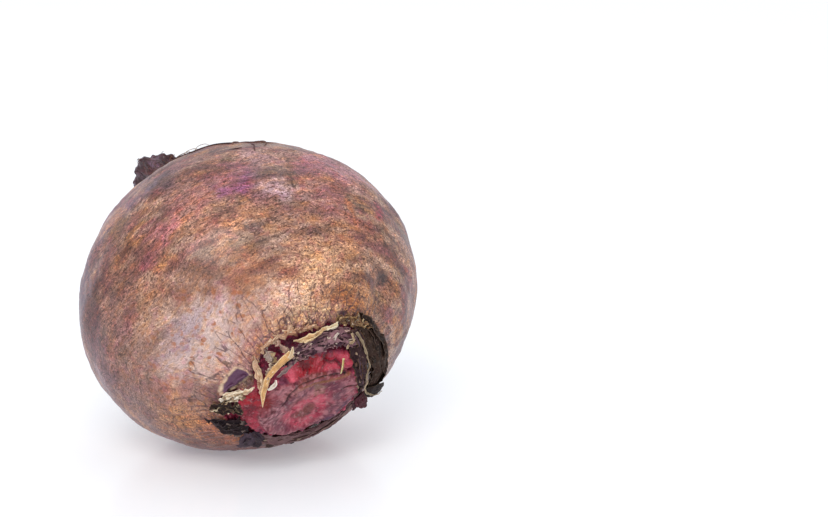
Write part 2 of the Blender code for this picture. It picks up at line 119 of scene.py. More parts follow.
# The root: the globe, the trimmed crown and the tap root, in mm and degrees about its own axis.
# A mark is a place along its outline, counted in outline points: 0 is the crown's middle, 3 the cut
# face's edge, 10 the rind's torn lip, 21 where the tap root starts and 27 its end
rootForm = {
    "globeRadius": 42.3,
    "crownSide": 35.3,
    "tailSide": 36.2,
    "shoulderFullness": 2.03,
    "tailFullness": 1.96,
    "twoLobes": 0.0245,
    "threeLobes": 0.0095,
    "faceHeight": 37.6,
    "faceRadii": [14.4, 12.6, 8.2, 6.4, 6.0, 7.9, 9.9, 11.2, 12.0, 11.7, 11.2, 12.9],
    "stumpRadii": [15.2, 14.7, 14.6, 11.7, 10.7, 12.2, 14.8, 14.9, 13.5, 12.7, 12.2, 13.9],
    "rindRadii": [18.0, 19.2, 20.8, 18.6, 17.8, 15.2, 18.2, 18.4, 17.4, 16.2, 16.0, 17.0],
    "moatDepths": [1.4, 1.6, 2.0, 2.6, 2.6, 0.9, 0.3, 0.6, 0.6, 0.3, 0.3, 0.8],
    "rindLip": 0.9,
    "fleshSlope": 0.38,
    "tapLength": 18.5,
    "tapRadius": 7.4,
    "tapBend": 7.7,
    "tapBendTowards": 187,
    "tapWrinkle": 0.075,
    "ridges": 13,
    "ridgeHeight": 0.30,
    "furrowDepth": 0.18,
    "hollowDepth": 1.7,
    "hollowTowards": (31.0, 41.0),
    "hollowReach": (3.2, 4.2),
    "flankFlattening": 2.0,
    "flankBreadth": 27,
    "flankBehind": 19,
    "curveSteps": 12,
    "meridians": 400,
    "faceMark": 3,
    "lipMark": 10,
    "globeAngles": (46, 58, 71, 84, 97, 110, 123, 135),
    # Mark on the outline and the spacing of the rings there, finest on the crown
    "ringSpacing": [(0, 0.27), (11.5, 0.29), (12.6, 0.38), (14, 0.65), (16, 1.25), (21, 1.2), (22.4, 0.6),
                    (27, 0.45)],
}


def roundCrown(values, longitude):
    # A smooth value between a list's entries, which stand every 30 degrees
    values = np.array(values)
    place = np.degrees(longitude) % 360 / 30
    first = np.floor(place).astype(int)
    blend = place - first
    v0, v1, v2, v3 = (values[(first + k) % 12] for k in (-1, 0, 1, 2))
    b2, b3 = blend**2, blend**3
    rise, fall = (v2 - v0) / 2, (v3 - v1) / 2
    between = v1 * (2 * b3 - 3 * b2 + 1) + v2 * (3 * b2 - 2 * b3)
    return between + rise * (b3 - 2 * b2 + blend) + fall * (b3 - b2)


def globeHeight(radius):
    form = rootForm
    inside = np.clip(1 - (np.asarray(radius) / form["globeRadius"]) ** form["shoulderFullness"], 0, 1)
    return form["crownSide"] * inside ** (1 / form["shoulderFullness"])


def outlinePoints(longitude, torn=0.0):
    # The outline's points at each longitude, from the crown's middle to the tap root's end
    form = rootForm
    top = form["faceHeight"]
    face = roundCrown(form["faceRadii"], longitude) + 0.35 * torn
    stump = np.maximum(roundCrown(form["stumpRadii"], longitude), face + 0.7) + 0.5 * torn
    rind = np.maximum(roundCrown(form["rindRadii"], longitude), stump + 2.6) - 0.9 * torn
    depth = roundCrown(form["moatDepths"], longitude)
    width = rind - stump
    edge = top - 0.6 - form["fleshSlope"] * (stump - face)
    lip = form["rindLip"]
    # Radius and height: the face and its edge, the stump, the moat, the lip, the globe, the tap root
    rows = [
        (0, top),
        (0.55 * face, top + 0.1),
        (face - 0.25, top - 0.05),
        (face + 0.15, top - 0.5),
        ((face + stump) / 2, 0.45 * top + 0.55 * edge - 0.15),
        (stump - 0.1, edge),
        (stump + 0.35, edge - 1.3),
        (stump + 0.25 * width, globeHeight(stump) - 0.8 * depth),
        (stump + 0.5 * width, globeHeight(stump + 0.5 * width) - depth),
        (stump + 0.84 * width, globeHeight(rind) - 0.3 * depth),
        (rind, globeHeight(rind) + lip),
        (rind + 1.8, globeHeight(rind + 1.8) + 0.35 * lip),
        (rind + 5.0, globeHeight(rind + 5.0)),
    ]
    for angle in form["globeAngles"]:
        up, out = math.cos(math.radians(angle)), math.sin(math.radians(angle))
        power = 2 / (form["shoulderFullness"] if up > 0 else form["tailFullness"])
        side = form["crownSide"] if up > 0 else form["tailSide"]
        rows.append((form["globeRadius"] * out**power, math.copysign(side * abs(up) ** power, up)))
    tail, tap = form["tailSide"], form["tapRadius"]
    end = -tail - form["tapLength"]
    rows += [
        (17.5, -tail + 2.8),
        (tap + 4.2, -tail - 0.6),
        (tap + 1.1, -tail - 5.0),
        (tap, -tail - 11.0),
        (tap - 0.8, end + 3.0),
        (tap - 2.8, end + 0.6),
        (0, end),
    ]
    points = [np.broadcast_arrays(radius, height, face)[:2] for radius, height in rows]
    return np.stack([np.stack(point, -1) for point in points], -2)


def curveThrough(points, steps):
    # A centripetal Catmull-Rom curve through points, for one curve or for many at once
    points = np.asarray(points, float)
    first = 2 * points[..., :1, :] - points[..., 1:2, :]
    last = 2 * points[..., -1:, :] - points[..., -2:-1, :]
    knots = np.concatenate([first, points, last], -2)
    dense = []
    for k in range(knots.shape[-2] - 3):
        before, start, end, after = (knots[..., k + n, :] for n in range(4))
        t1 = np.linalg.norm(start - before, axis=-1, keepdims=True) ** 0.5
        t2 = t1 + np.linalg.norm(end - start, axis=-1, keepdims=True) ** 0.5
        t3 = t2 + np.linalg.norm(after - end, axis=-1, keepdims=True) ** 0.5
        for step in range(steps):
            t = t1 + (t2 - t1) * step / steps
            a1 = before + (start - before) * t / t1
            a2 = start + (end - start) * (t - t1) / (t2 - t1)
            a3 = end + (after - end) * (t - t2) / (t3 - t2)
            b1 = a1 + (a2 - a1) * t / t2
            b2 = a2 + (a3 - a2) * (t - t1) / (t3 - t1)
            dense.append(b1 + (b2 - b1) * (t - t1) / (t2 - t1))
    dense.append(points[..., -1, :])
    return np.stack(dense, -2)


def rootPlaces(marks, longitudes, torn=0.0):
    # The root's surface over a grid of marks and longitudes, and the distance along each outline
    form = rootForm
    dense = curveThrough(outlinePoints(longitudes, torn), form["curveSteps"])
    travel = np.cumsum(np.linalg.norm(np.diff(dense, axis=1, prepend=dense[:, :1]), axis=-1), axis=1)
    dense = np.concatenate([dense, travel[..., None]], -1)
    spot = np.clip(np.asarray(marks) * form["curveSteps"], 0, dense.shape[1] - 1.001)
    lower = np.floor(spot).astype(int)
    blend = (spot - lower)[None, :, None]
    grid = np.moveaxis(dense[:, lower] * (1 - blend) + dense[:, lower + 1] * blend, 1, 0)
    radius, height, along = np.maximum(grid[..., 0], 0), grid[..., 1], grid[..., 2]
    turn = longitudes[None, :]
    mark = np.asarray(marks)[:, None]

    # The globe's faint lobes, and wrinkles round the dried tap root
    body = np.minimum(1, radius / form["globeRadius"]) ** 0.7
    lobes = form["twoLobes"] * np.cos(2 * turn - 0.03) + form["threeLobes"] * np.cos(3 * turn - 0.4)
    radius = radius * (1 + body * lobes)
    twist = turn + 0.045 * height
    dried = np.clip((mark - 21) / 3, 0, 1)
    radius *= 1 + form["tapWrinkle"] * dried * (np.cos(5 * twist) + 0.7 * np.cos(8 * twist + 1.2))
    place = np.stack([radius * np.cos(turn), radius * np.sin(turn), height + 0 * turn], -1)
    outward = place / np.maximum(np.linalg.norm(place, axis=-1, keepdims=True), 1e-6)

    # Ridges that run down from the crown, and shallow furrows round the globe
    ridge = np.cos(form["ridges"] * turn + 1.3 * np.sin(2 * turn) + 0.8 * np.sin(5 * turn))
    furrow = np.cos(4.4 * mark + 0.9 * np.sin(turn) + 0.5 * np.cos(3 * turn))
    rise = form["ridgeHeight"] * ridge * bump(mark, 11.6, 1.4)
    rise -= form["furrowDepth"] * furrow * bump(mark, 16.5, 3.2)
    place = place + outward * rise[..., None]

    # A hollow on the shoulder, and the flat spot that the root rests on
    reach, towards = form["hollowTowards"][0], math.radians(form["hollowTowards"][1])
    fromX = place[..., 0] - reach * math.cos(towards)
    fromY = place[..., 1] - reach * math.sin(towards)
    ahead = fromX * math.cos(towards) + fromY * math.sin(towards)
    aside = fromY * math.cos(towards) - fromX * math.sin(towards)
    hollow = bump(ahead, 0, form["hollowReach"][0]) * bump(aside, 0, form["hollowReach"][1])
    behind = math.radians(lie["dip"] - form["flankBehind"])
    down = np.array((0, -math.cos(behind), math.sin(behind)))
    away = np.arccos(np.clip(place @ down / np.maximum(np.linalg.norm(place, axis=-1), 1e-6), -1, 1))
    sink = np.where(height > 0, form["hollowDepth"] * hollow, 0)
    sink += form["flankFlattening"] * bump(away, 0, math.radians(form["flankBreadth"]))
    place = place - outward * sink[..., None]

    # The tap root bends aside
    past = np.maximum(0, (-height - form["tailSide"] + 3) / (form["tapLength"] + 3))
    bend = form["tapBend"] * past**1.3
    bendTowards = math.radians(form["tapBendTowards"])
    place[..., 0] += bend * math.cos(bendTowards)
    place[..., 1] += bend * math.sin(bendTowards)
    return place, along


def gridNormals(grid):
    # Outward normals of a grid that closes on itself round the axis
    downward = np.gradient(grid, axis=0)
    across = np.roll(grid, -1, axis=1) - np.roll(grid, 1, axis=1)
    normals = np.cross(downward, across)
    normals /= np.maximum(np.linalg.norm(normals, axis=-1, keepdims=True), 1e-9)
    normals[0], normals[-1] = (0, 0, 1), (0, 0, -1)
    return normals


def newPiece(name, places, faces, material, fields=None):
    # A mesh object from places in the root's frame in mm, with named fields for its material to read
    world = toWorld(places)
    world[:, 2] = np.maximum(world[:, 2], 0)
    mesh = bpy.data.meshes.new(name)
    mesh.from_pydata((world * mm).tolist(), [], faces)
    mesh.update()
    for field, values in {"axisPlace": places, **(fields or {})}.items():
        vector = np.ndim(values) == 2
        attribute = mesh.attributes.new(field, "FLOAT_VECTOR" if vector else "FLOAT", "POINT")
        attribute.data.foreach_set("vector" if vector else "value", np.ravel(values).astype(np.float32))
    mesh.shade_smooth()
    piece = bpy.data.objects.new(name, mesh)
    bpy.context.scene.collection.objects.link(piece)
    mesh.materials.append(material)
    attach(piece, "root")
    return piece


def ringMarks(spacing):
    # Marks down the outline, at the spacing that the list gives
    marks, mark = [0.0], 0.0
    upper = outlinePoints(np.array([math.radians(100)]))
    dense = curveThrough(upper, rootForm["curveSteps"])[0]
    travel = np.cumsum(np.linalg.norm(np.diff(dense, axis=0, prepend=dense[:1]), axis=-1))
    places = np.arange(len(dense)) / rootForm["curveSteps"]
    while mark < places[-1] - 0.001:
        step = np.interp(mark, [m for m, _ in spacing], [s for _, s in spacing])
        mark = float(np.interp(np.interp(mark, places, travel) + step, travel, places))
        marks.append(mark)
    return np.array(marks)


# Colours of the rind: each zone's colour, mark and longitude, its reach in both and its strength. The dark
# zones on the left side, at longitudes 164 to 186, are partly painted shade
rindZones = [
    ("#d0bebf", 12.6, 150, 0.9, 30, 0.95),
    ("#e6c9bf", 12.4, 96, 0.5, 22, 0.9),
    ("#f0c9a8", 13.0, 80, 0.8, 15, 0.8),
    ("#9e6c54", 13.4, 112, 0.55, 18, 0.9),
    ("#a797a8", 13.1, 156, 0.35, 18, 0.8),
    ("#77574d", 13.9, 133, 0.5, 9, 0.7),
    ("#a5918d", 13.9, 150, 0.5, 8, 0.7),
    ("#aa8882", 14.1, 180, 0.8, 19, 0.8),
    ("#826562", 13.9, 205, 0.9, 17, 0.8),
    ("#d1a185", 13.8, 68, 0.7, 13, 0.7),
    ("#a87163", 14.5, 60, 0.35, 7, 0.8),
    ("#b79a98", 14.4, 90, 0.5, 17, 0.6),
    ("#876260", 14.4, 133, 0.35, 8, 0.8),
    ("#e1ae91", 15.05, 110, 0.35, 9, 1.0),
    ("#b48885", 15.1, 122, 0.4, 8, 0.7),
    ("#916b62", 15.1, 152, 0.5, 9, 0.8),
    ("#97706b", 15.2, 167, 0.4, 8, 0.8),
    ("#886774", 15.2, 196, 0.8, 12, 0.9),
    ("#e6cee6", 15.6, 91, 0.45, 8, 0.8),
    ("#b08189", 15.6, 75, 0.5, 8, 0.8),
    ("#966a62", 15.7, 153, 0.4, 8, 0.9),
    ("#936c76", 15.7, 182, 0.5, 9, 0.8),
    ("#995d8f", 16.1, 105, 0.35, 7, 1.0),
    ("#bc808b", 16.0, 131, 0.3, 7, 0.8),
    ("#b6687d", 15.45, 144, 0.2, 5, 0.9),
    ("#ad6978", 15.8, 118, 0.25, 5, 0.6),
    ("#b38382", 16.3, 120, 0.4, 8, 0.8),
    # Partly painted shade: darker than the rind on the root's left side
    ("#5f332e", 16.5, 164, 0.6, 8, 0.9),
    ("#826053", 17.0, 150, 0.5, 8, 0.8),
    ("#7a5e46", 17.4, 144, 0.4, 6, 0.7),
    ("#906b6e", 17.0, 120, 0.5, 8, 0.8),
    ("#a87185", 16.8, 104, 0.4, 7, 0.8),
    ("#a86b7f", 16.6, 73, 0.4, 7, 0.8),
    ("#ca91ab", 17.1, 60, 0.8, 13, 0.8),
    ("#ba95a2", 17.2, 90, 0.5, 8, 0.7),
    ("#886872", 18.1, 121, 0.7, 9, 0.8),
    ("#5f4d5b", 17.9, 130, 0.35, 7, 0.9),
    ("#4a3835", 16.9, 129, 0.14, 4, 0.85),
    # Partly painted shade: darker than the rind near the left outline
    ("#5c1f22", 17.6, 171, 0.3, 5, 0.9),
    ("#4c2e39", 17.6, 186, 0.8, 10, 0.8),
    ("#a9425f", 15.5, 48, 0.35, 3, 0.8),
    ("#673a49", 14.4, 61, 0.15, 2.5, 0.9),
    ("#cb8053", 15.2, 66, 0.3, 3, 0.8),
    ("#bd8e63", 12.6, 208, 0.7, 17, 0.85),
    ("#804e38", 12.8, 250, 0.9, 30, 0.7),
    ("#c1864c", 12.1, 60, 0.7, 14, 0.8),
    ("#d1ada8", 11.3, 140, 0.8, 30, 0.8),
    ("#ffe2bc", 11.3, 88, 0.7, 24, 0.85),
    ("#d08a56", 11.5, 222, 0.9, 26, 0.8),
    # Partly painted shade: a broad darkening over the root's left side
    ("#522731", 16.3, 178, 1.3, 14, 0.8),
]
# Small dark marks: mark, longitude, reach in both
rindMarks = [
    (13.35, 42, 0.26, 3.6), (16.1, 85.2, 0.10, 0.5), (15.85, 86, 0.14, 0.35), (14.15, 104.5, 0.022, 3.4),
    (14.4, 46, 0.08, 0.9), (16.9, 64, 0.07, 0.5), (16.7, 55, 0.07, 0.6), (16.4, 52, 0.06, 0.5),
    (15.5, 102, 0.05, 0.7), (18.1, 97, 0.14, 1.4), (12.3, 190, 0.05, 2.0), (12.2, 197, 0.04, 2.6),
    (12.35, 216, 0.05, 3.0), (12.6, 229, 0.05, 2.6), (12.7, 214, 0.04, 2.2), (12.9, 222, 0.04, 2.0),
    (12.1, 206, 0.05, 1.8), (19.3, 125, 0.2, 2.6), (15.3, 153, 0.05, 1.0), (14.95, 163, 0.05, 0.9),
]
# Outlines over the crown in mm: an outer leaf's smooth scar, a pit beside it and a pale plate of cork
leafScar = [(-19.0, 1.0), (-18.7, 3.0), (-18.0, 5.5), (-16.0, 7.6), (-13.8, 7.4), (-13.2, 5.9),
            (-14.2, 4.3), (-16.0, 2.9), (-17.2, 1.6)]
crownPit = [(8.8, 19.1), (9.6, 20.1), (11.1, 19.7), (11.1, 18.8), (10.0, 18.5)]
palePlate = [(-5.4, 20.8), (-3.8, 20.4), (-1.4, 20.6), (2.3, 19.6), (3.7, 20.5), (2.4, 22.4), (-2.0, 22.6)]
# Lines over the crown: a crack and a slit in the cut face, and a rounded fold of flesh beside it
faceCrack = [(-4.6, -1.6), (-3.2, 1.8), (-1.6, 4.4), (-0.5, 5.2), (1.8, 5.7), (4.1, 6.5), (8.2, 6.6),
             (11.0, 6.6)]
faceSlit = [(10.5, 1.4), (12.0, 1.7), (14.0, 1.7)]
pinkLobe = [(6.8, 11.3), (8.4, 11.6), (10.2, 10.4), (11.4, 8.6)]
# Growth marks on the cut face, as outlines in mm
faceZones = {
    "oval": [(-2.9, -5.7), (-1.2, -8.0), (2.4, -8.6), (4.8, -6.4), (7.2, -2.6), (7.0, 0.4), (3.6, 0.6),
             (-0.8, -1.6)],
    "olive": [(3.0, 1.1), (2.4, 4.3), (5.6, 4.1), (6.2, 1.2)],
    "brownFlank": [(-2.0, 4.5), (-1.3, 6.5), (1.9, 7.6), (6.9, 6.7), (7.1, 5.4), (3.7, 5.6), (0.4, 4.5)],
    "band": [(5.8, -9.6), (8.0, -7.6), (10.0, -6.3), (12.0, -3.6), (13.2, -1.0), (14.2, -2.4), (11.2, -7.4),
             (7.2, -10.4)],
}


def paintLayers(place, ground, layers):
    # Linear colours: a ground colour and the layers of amount and colour that cover it
    tints = np.zeros(place.shape) + np.array(colour(ground)[:3])
    for amount, hexCode in layers:
        tints = mixInto(tints, amount, hexCode)
    return tints


def paintRind(place, mark, turn, fromLip):
    # Linear colours of the rind at each place, without its finest grain
    wander = cloud(place, 7, seed=11, octaves=3)
    drift = cloud(place, 5, seed=12, octaves=3)
    tints = np.zeros(place.shape) + np.array(colour("#a57c6b")[:3])
    banded = place * (1, 1, 3.2)
    for hexCode, size, seed, low, high, strength in [
        ("#8c7763", 15, 21, 0.02, 0.22, 0.75),
        ("#bd864f", 12, 22, 0.0, 0.30, 0.6),
        ("#8c5262", 13, 23, 0.0, 0.28, 0.7),
        ("#bca093", 10, 24, 0.04, 0.28, 0.7),
        ("#6c4448", 8, 25, 0.10, 0.30, 0.7),
    ]:
        amount = smoothStep(cloud(banded, size, seed=seed, octaves=2), low, high)
        tints = mixInto(tints, strength * amount, hexCode)
    for hexCode, atMark, atTurn, markReach, turnReach, strength in rindZones:
        aside = (turn + 9 * wander - atTurn + 180) % 360 - 180
        far = ((mark + 0.5 * drift - atMark) / markReach) ** 2 + (aside / turnReach) ** 2
        tints = mixInto(tints, strength * np.exp(-(far**1.3)), hexCode)
    for atMark, atTurn, markReach, turnReach in rindMarks:
        aside = (turn + 1.2 * drift - atTurn + 180) % 360 - 180
        far = ((mark + 0.05 * wander - atMark) / markReach) ** 2 + (aside / turnReach) ** 2
        tints = mixInto(tints, 0.85 * np.exp(-(far**2)), "#3f2629")
    x, y, height = np.moveaxis(place, -1, 0)
    plate = pathDistance(x, y, palePlate, closed=True) + 1.2 * cloud(place, 1.6, seed=13, octaves=2)
    plate = np.where(height > 0, plate, 9)
    tints = mixInto(tints, 0.75 * smoothStep(-plate, -0.1, 0.5), "#dcc4ab")
    # A dark line along the plate's lower side, partly painted shadow of its lifted edge
    tints = mixInto(tints, 0.8 * bump(plate, 0.15, 0.2) * (y < 21), "#4e3430")
    pit = np.where(height > 0, pathDistance(x, y, crownPit, closed=True) + 0.6 * drift, 9)
    tints = mixInto(tints, smoothStep(-pit, -0.3, 0.2), "#3a2832")
    # Darker brown along the torn lip: partly its own colour, partly painted shade where the lip turns down
    # into the moat
    brown = bump(fromLip, -0.1, 0.35) * smoothStep(wander, -0.25, 0.2)
    return mixInto(tints, 0.7 * brown, "#6b4034")


def paintFace(place, wander):
    # Linear colours of the dried face, in zones round its old growth rings
    x, y = place[..., 0], place[..., 1]
    fine = cloud(place, 1.5, seed=31, octaves=3)

    def within(name):
        return fine - pathDistance(x, y, faceZones[name], closed=True)

    oval = pathDistance(x, y, faceZones["oval"], closed=True) + 1.2 * wander + 0.8 * fine
    way = np.arctan2(y + 4.0, 0.7 * (x - 2.0))
    rings = cloud(np.stack([oval, 1.5 * np.cos(way), 1.5 * np.sin(way)], -1), 1.2, seed=34, octaves=2)
    marbling = cloud(place, 3.2, seed=37, octaves=3)
    speckled = bump(np.hypot(x + 7, 0.8 * (y + 4.4)), 0, 3.8)
    tints = paintLayers(place, "#8e4e5c", [
        (0.5 * smoothStep(rings, 0.0, 0.30), "#a4747e"),
        (0.45 * smoothStep(-rings, 0.02, 0.30), "#6a3a4c"),
        (0.8 * bump(np.hypot(0.7 * (x + 1.5), y - 1.2), 0, 2.6), "#b8948c"),
        (0.65 * smoothStep(marbling, 0.02, 0.26), "#a5828a"),
        (0.6 * smoothStep(-marbling, 0.02, 0.26), "#7a4254"),
        (0.75 * bump(oval, 2.8, 1.2), "#653a50"),
        (0.85 * bump(oval, -0.5, 1.0), "#b9566c"),
        (0.85 * bump(np.hypot(x - 4.4, y + 1.2), 0, 1.9), "#c0677a"),
        (0.85 * bump(np.hypot(x - 1.0, y + 8.4), 0, 2.4), "#b54f66"),
        (0.75 * smoothStep(-oval, 1.0, 2.8), "#6f443f"),
        (0.9 * bump(np.hypot(x - 5.6, (y + 5.8) * 0.6), 0, 1.2), "#862444"),
        (0.85 * smoothStep(within("band"), -0.5, 0.5), "#5c3656"),
        (0.75 * smoothStep(within("olive"), -0.4, 0.8), "#8b7a6c"),
        (0.8 * smoothStep(within("brownFlank"), -0.4, 0.5), "#7f4a45"),
        (0.6 * speckled, "#94747c"),
        (0.7 * speckled * smoothStep(cloud(place, 0.6, seed=35), 0.20, 0.30), "#4c323e"),
        (0.6 * speckled * smoothStep(cloud(place, 0.7, seed=36), 0.22, 0.32), "#d0bcc0"),
        (0.4 * smoothStep(cloud(place, 1.1, seed=32, octaves=2), 0.22, 0.34), "#c4a0a4"),
        (0.6 * smoothStep(cloud(place, 1.0, seed=33), 0.26, 0.36), "#5a1e30"),
        (0.6 * bump(y - 3.6 - 0.2 * x, 0, 0.5) * smoothStep(x, -3, 0), "#93703f"),
        (0.75 * bump(pathDistance(x, y, faceCrack) + 0.3 * fine, 0, 0.24), "#34131f"),
        (0.8 * bump(pathDistance(x, y, faceSlit), 0, 0.16), "#33121b"),
        (bump(np.hypot(x + 9.2, 0.8 * (y + 0.4)) + 0.8 * fine, 0, 2.0), "#7e0e1c"),
    ])
    # More contrast round the middle colour, which turns redder
    middle = np.array(colour("#8a5260")[:3])
    return np.clip((middle + 1.3 * (tints - middle)) * (0.95, 0.78, 0.80), 0.004, 1)


def paintFlank(place, turn, fromFace, lumps):
    # Linear colours of the stump's flank and the moat: wet and red where it tore, dusky elsewhere
    around = np.stack([14 * np.cos(np.radians(turn)), 14 * np.sin(np.radians(turn)), 0.5 * fromFace], -1)
    streak = cloud(around, 1.9, seed=41, octaves=3)
    blotch = cloud(place, 2.2, seed=43, octaves=2)
    torn = smoothStep(turn, 128, 142)
    # Painted shade in the crease beside the pink lobe
    creaseShade = bump(pathDistance(place[..., 0], place[..., 1], pinkLobe), 1.9, 0.4)
    dusk = paintLayers(place, "#842c4a", [
        # The lumps are paler than the hollows between them and palest on their tops: partly painted
        # highlight and shade
        (smoothStep(lumps, -0.15, 0.3), "#b63c5e"),
        (smoothStep(lumps, 0.10, 0.40) * smoothStep(cloud(place, 2, seed=44), -0.2, 0.2), "#e27c98"),
        (0.7 * smoothStep(cloud(place, 3, seed=42, octaves=2), 0.02, 0.25), "#6a4058"),
    ])
    red = paintLayers(place, "#a00c24", [
        (0.8 * smoothStep(streak, 0.06, 0.3), "#ac1a32"),
        # Pale pink on the streaks' crests: painted highlights of the wet flesh
        (0.4 * smoothStep(streak, 0.28, 0.38), "#e67c8a"),
        (0.8 * smoothStep(-streak, 0.08, 0.32), "#640a1c"),
        (0.9 * bump(turn, 117, 9), "#f8869a"),
        (0.9 * bump(turn, 46, 14), "#cc6074"),
        (0.8 * creaseShade, "#3c0a16"),
        (0.9 * torn, "#902439"),
        (0.8 * torn * smoothStep(blotch, 0.0, 0.25), "#641426"),
        (0.6 * torn * smoothStep(-blotch, 0.08, 0.3), "#b84c62"),
        (0.9 * bump(turn, 177, 8) * smoothStep(streak, -0.3, 0.1), "#b5141f"),
    ]) * (0.9, 0.74, 0.78)
    crescent = smoothStep(turn, 30, 40) * (1 - smoothStep(turn, 120, 130))
    tornSide = smoothStep(turn, 138, 146) * (1 - smoothStep(turn, 216, 232))
    amount = (crescent + 0.85 * tornSide) * (1 - smoothStep(fromFace + 3 * lumps, 4.6, 6.2))
    amount = np.clip(amount, 0, 1)
    return dusk + (red - dusk) * amount[..., None], amount


# How high the relief stands over the smooth form, in mm
reliefHeights = {
    "skinSwell": 0.34,
    "skinGrain": 0.12,
    "skinSink": 0.26,
    "lipRibs": 0.55,
    "lipLumps": 0.6,
    "lipFolds": 0.8,
    "faceSwell": 0.6,
    "faceCrack": 0.6,
    "faceSlit": 0.5,
    "slopeRibs": 0.5,
    "slopeLumps": 0.4,
    "tornGrains": 0.9,
    "pinkLobe": 1.1,
    "lobeCrease": 0.6,
    "scarRim": 0.35,
    "scarHollow": 0.8,
    "tapFurrows": 1.5,
    "tapGrain": 0.2,
    "tapSink": 0.6,
}


def rootRelief(place, mark, turn, fromLip):
    # Relief along the normal, the grains of torn flesh and the distance to the leaf scar, all in mm
    tall = reliefHeights
    x, y, height = np.moveaxis(place, -1, 0)
    around = 22 * np.stack([np.cos(np.radians(turn)), np.sin(np.radians(turn))], -1)
    ribs = np.concatenate([around, 0.16 * fromLip[..., None]], -1)

    onFace = 1 - smoothStep(mark, 2.2, 3.4)
    relief = onFace * tall["faceSwell"] * cloud(place, 4.0, seed=4, octaves=2)
    relief -= onFace * tall["faceCrack"] * bump(pathDistance(x, y, faceCrack), 0, 0.26)
    relief -= onFace * tall["faceSlit"] * bump(pathDistance(x, y, faceSlit), 0, 0.22)

    # The torn flank of the stump and the moat round it
    crownRings = np.searchsorted(mark[:, 0], 10.4)
    grains = [noise.voronoi(Vector(p) / 1.15)[0][0] for p in place[:crownRings].reshape(-1, 3)]
    lumps = np.zeros(mark.shape)
    lumps[:crownRings] = 0.45 - np.reshape(grains, (crownRings, -1))
    lobe = pathDistance(x, y, pinkLobe)
    flank = tall["slopeRibs"] * cloud(ribs * 14 / 22, 2.2, seed=6, octaves=2)
    flank += tall["slopeLumps"] * cloud(place, 1.5, seed=7, octaves=2)
    flank += tall["pinkLobe"] * bump(lobe, 0, 1.1) - tall["lobeCrease"] * bump(lobe, 1.9, 0.45)
    flank += tall["tornGrains"] * lumps * (1 - 0.6 * bump(turn, 80, 45) * (mark < 5.6))
    relief += flank * smoothStep(mark, 2.8, 3.6) * (1 - smoothStep(mark, 8.6, 9.6))

    # The rind, its peeling lip and the smooth scar of an outer leaf
    onSkin = smoothStep(mark, 10.2, 11.4)
    relief += onSkin * tall["skinSwell"] * cloud(place, 9, seed=1, octaves=2)
    relief += onSkin * tall["skinGrain"] * cloud(place, 1.9, seed=2, octaves=2)
    relief += onSkin * tall["lipRibs"] * cloud(ribs, 1.25, seed=10, octaves=2) * bump(mark, 11.3, 1.5)
    relief += tall["lipLumps"] * cloud(place, 1.7, seed=8, octaves=2) * bump(mark, 10.2, 1.0)
    folds = cloud(np.concatenate([around, 0.9 * fromLip[..., None]], -1), 3.0, seed=19, octaves=2)
    folds = smoothStep(folds, 0.0, 0.14) * bump(fromLip, 1.6, 1.7) * bump(turn, 105, 50)
    relief += tall["lipFolds"] * folds * (mark > 9.6)
    scar = np.where(height > 0, pathDistance(x, y, leafScar, closed=True), 30)
    scar += 0.25 * cloud(place, 1.5, seed=14)
    relief *= smoothStep(scar, -0.2, 0.8) * 0.9 + 0.1
    relief += tall["scarRim"] * bump(scar, 0.55, 0.45)
    relief -= tall["scarHollow"] * (1 - smoothStep(scar, -1.4, 0.2)) * (mark > 9.8)

    tap = tall["tapFurrows"] * cloud(place * (1, 1, 0.45), 3.8, seed=9, octaves=3)
    tap += tall["tapGrain"] * cloud(place, 0.9, seed=16) - tall["tapSink"]
    relief += tap * smoothStep(mark, 21.2, 23.5) - tall["skinSink"] * onSkin
    return relief, lumps, scar


def rootFields(place, mark, turn, fromLip, fromFace, lumps, scar):
    # What the materials read: colours, places and distances in mm, and amounts
    onRind = (fromLip > -0.35) | ((scar < 1.3) & (place[..., 2] > 0))
    rind = paintRind(place, mark, turn, fromLip)
    tap = paintLayers(place, "#7a4a40", [
        (smoothStep(mark + cloud(place, 3, seed=18), 23.0, 24.4), "#472433"),
        # Bluish-purple patches: painted highlights on the dark tap root
        (0.8 * smoothStep(cloud(place, 2.6, seed=17, octaves=2), 0.05, 0.3), "#6e5470"),
    ])
    rind = rind + (tap - rind) * smoothStep(mark, 21.2, 23.5)[..., None]
    wander = cloud(place, 5, seed=15, octaves=2)
    flank, wet = paintFlank(place, turn, fromFace, lumps)
    face = paintFace(place, wander)
    faceAmount = smoothStep(-fromFace - 0.5 * wander, -0.6, 0.1)
    flesh = flank + (face - flank) * faceAmount[..., None]
    around = 20 * np.stack([np.cos(np.radians(turn)), np.sin(np.radians(turn))], -1)
    return {
        "tintPlace": np.where(onRind[..., None], rind, flesh),
        "turnPlace": np.concatenate([around, fromLip[..., None]], -1),
        "fromLip": np.where(onRind, np.clip(fromLip, 0, 40), np.clip(fromLip, -12, -0.36)),
        "fromScar": np.clip(scar, -3, 12),
        "wet": wet * (1 - faceAmount),
        "pale": np.exp(-(((mark - 12.4) / 1.6) ** 2) - (((turn - 150) / 48) ** 4)),
        "pits": np.exp(-(((mark - 12.5) / 1.0) ** 2) - (((turn - 218) / 30) ** 2)),
    }


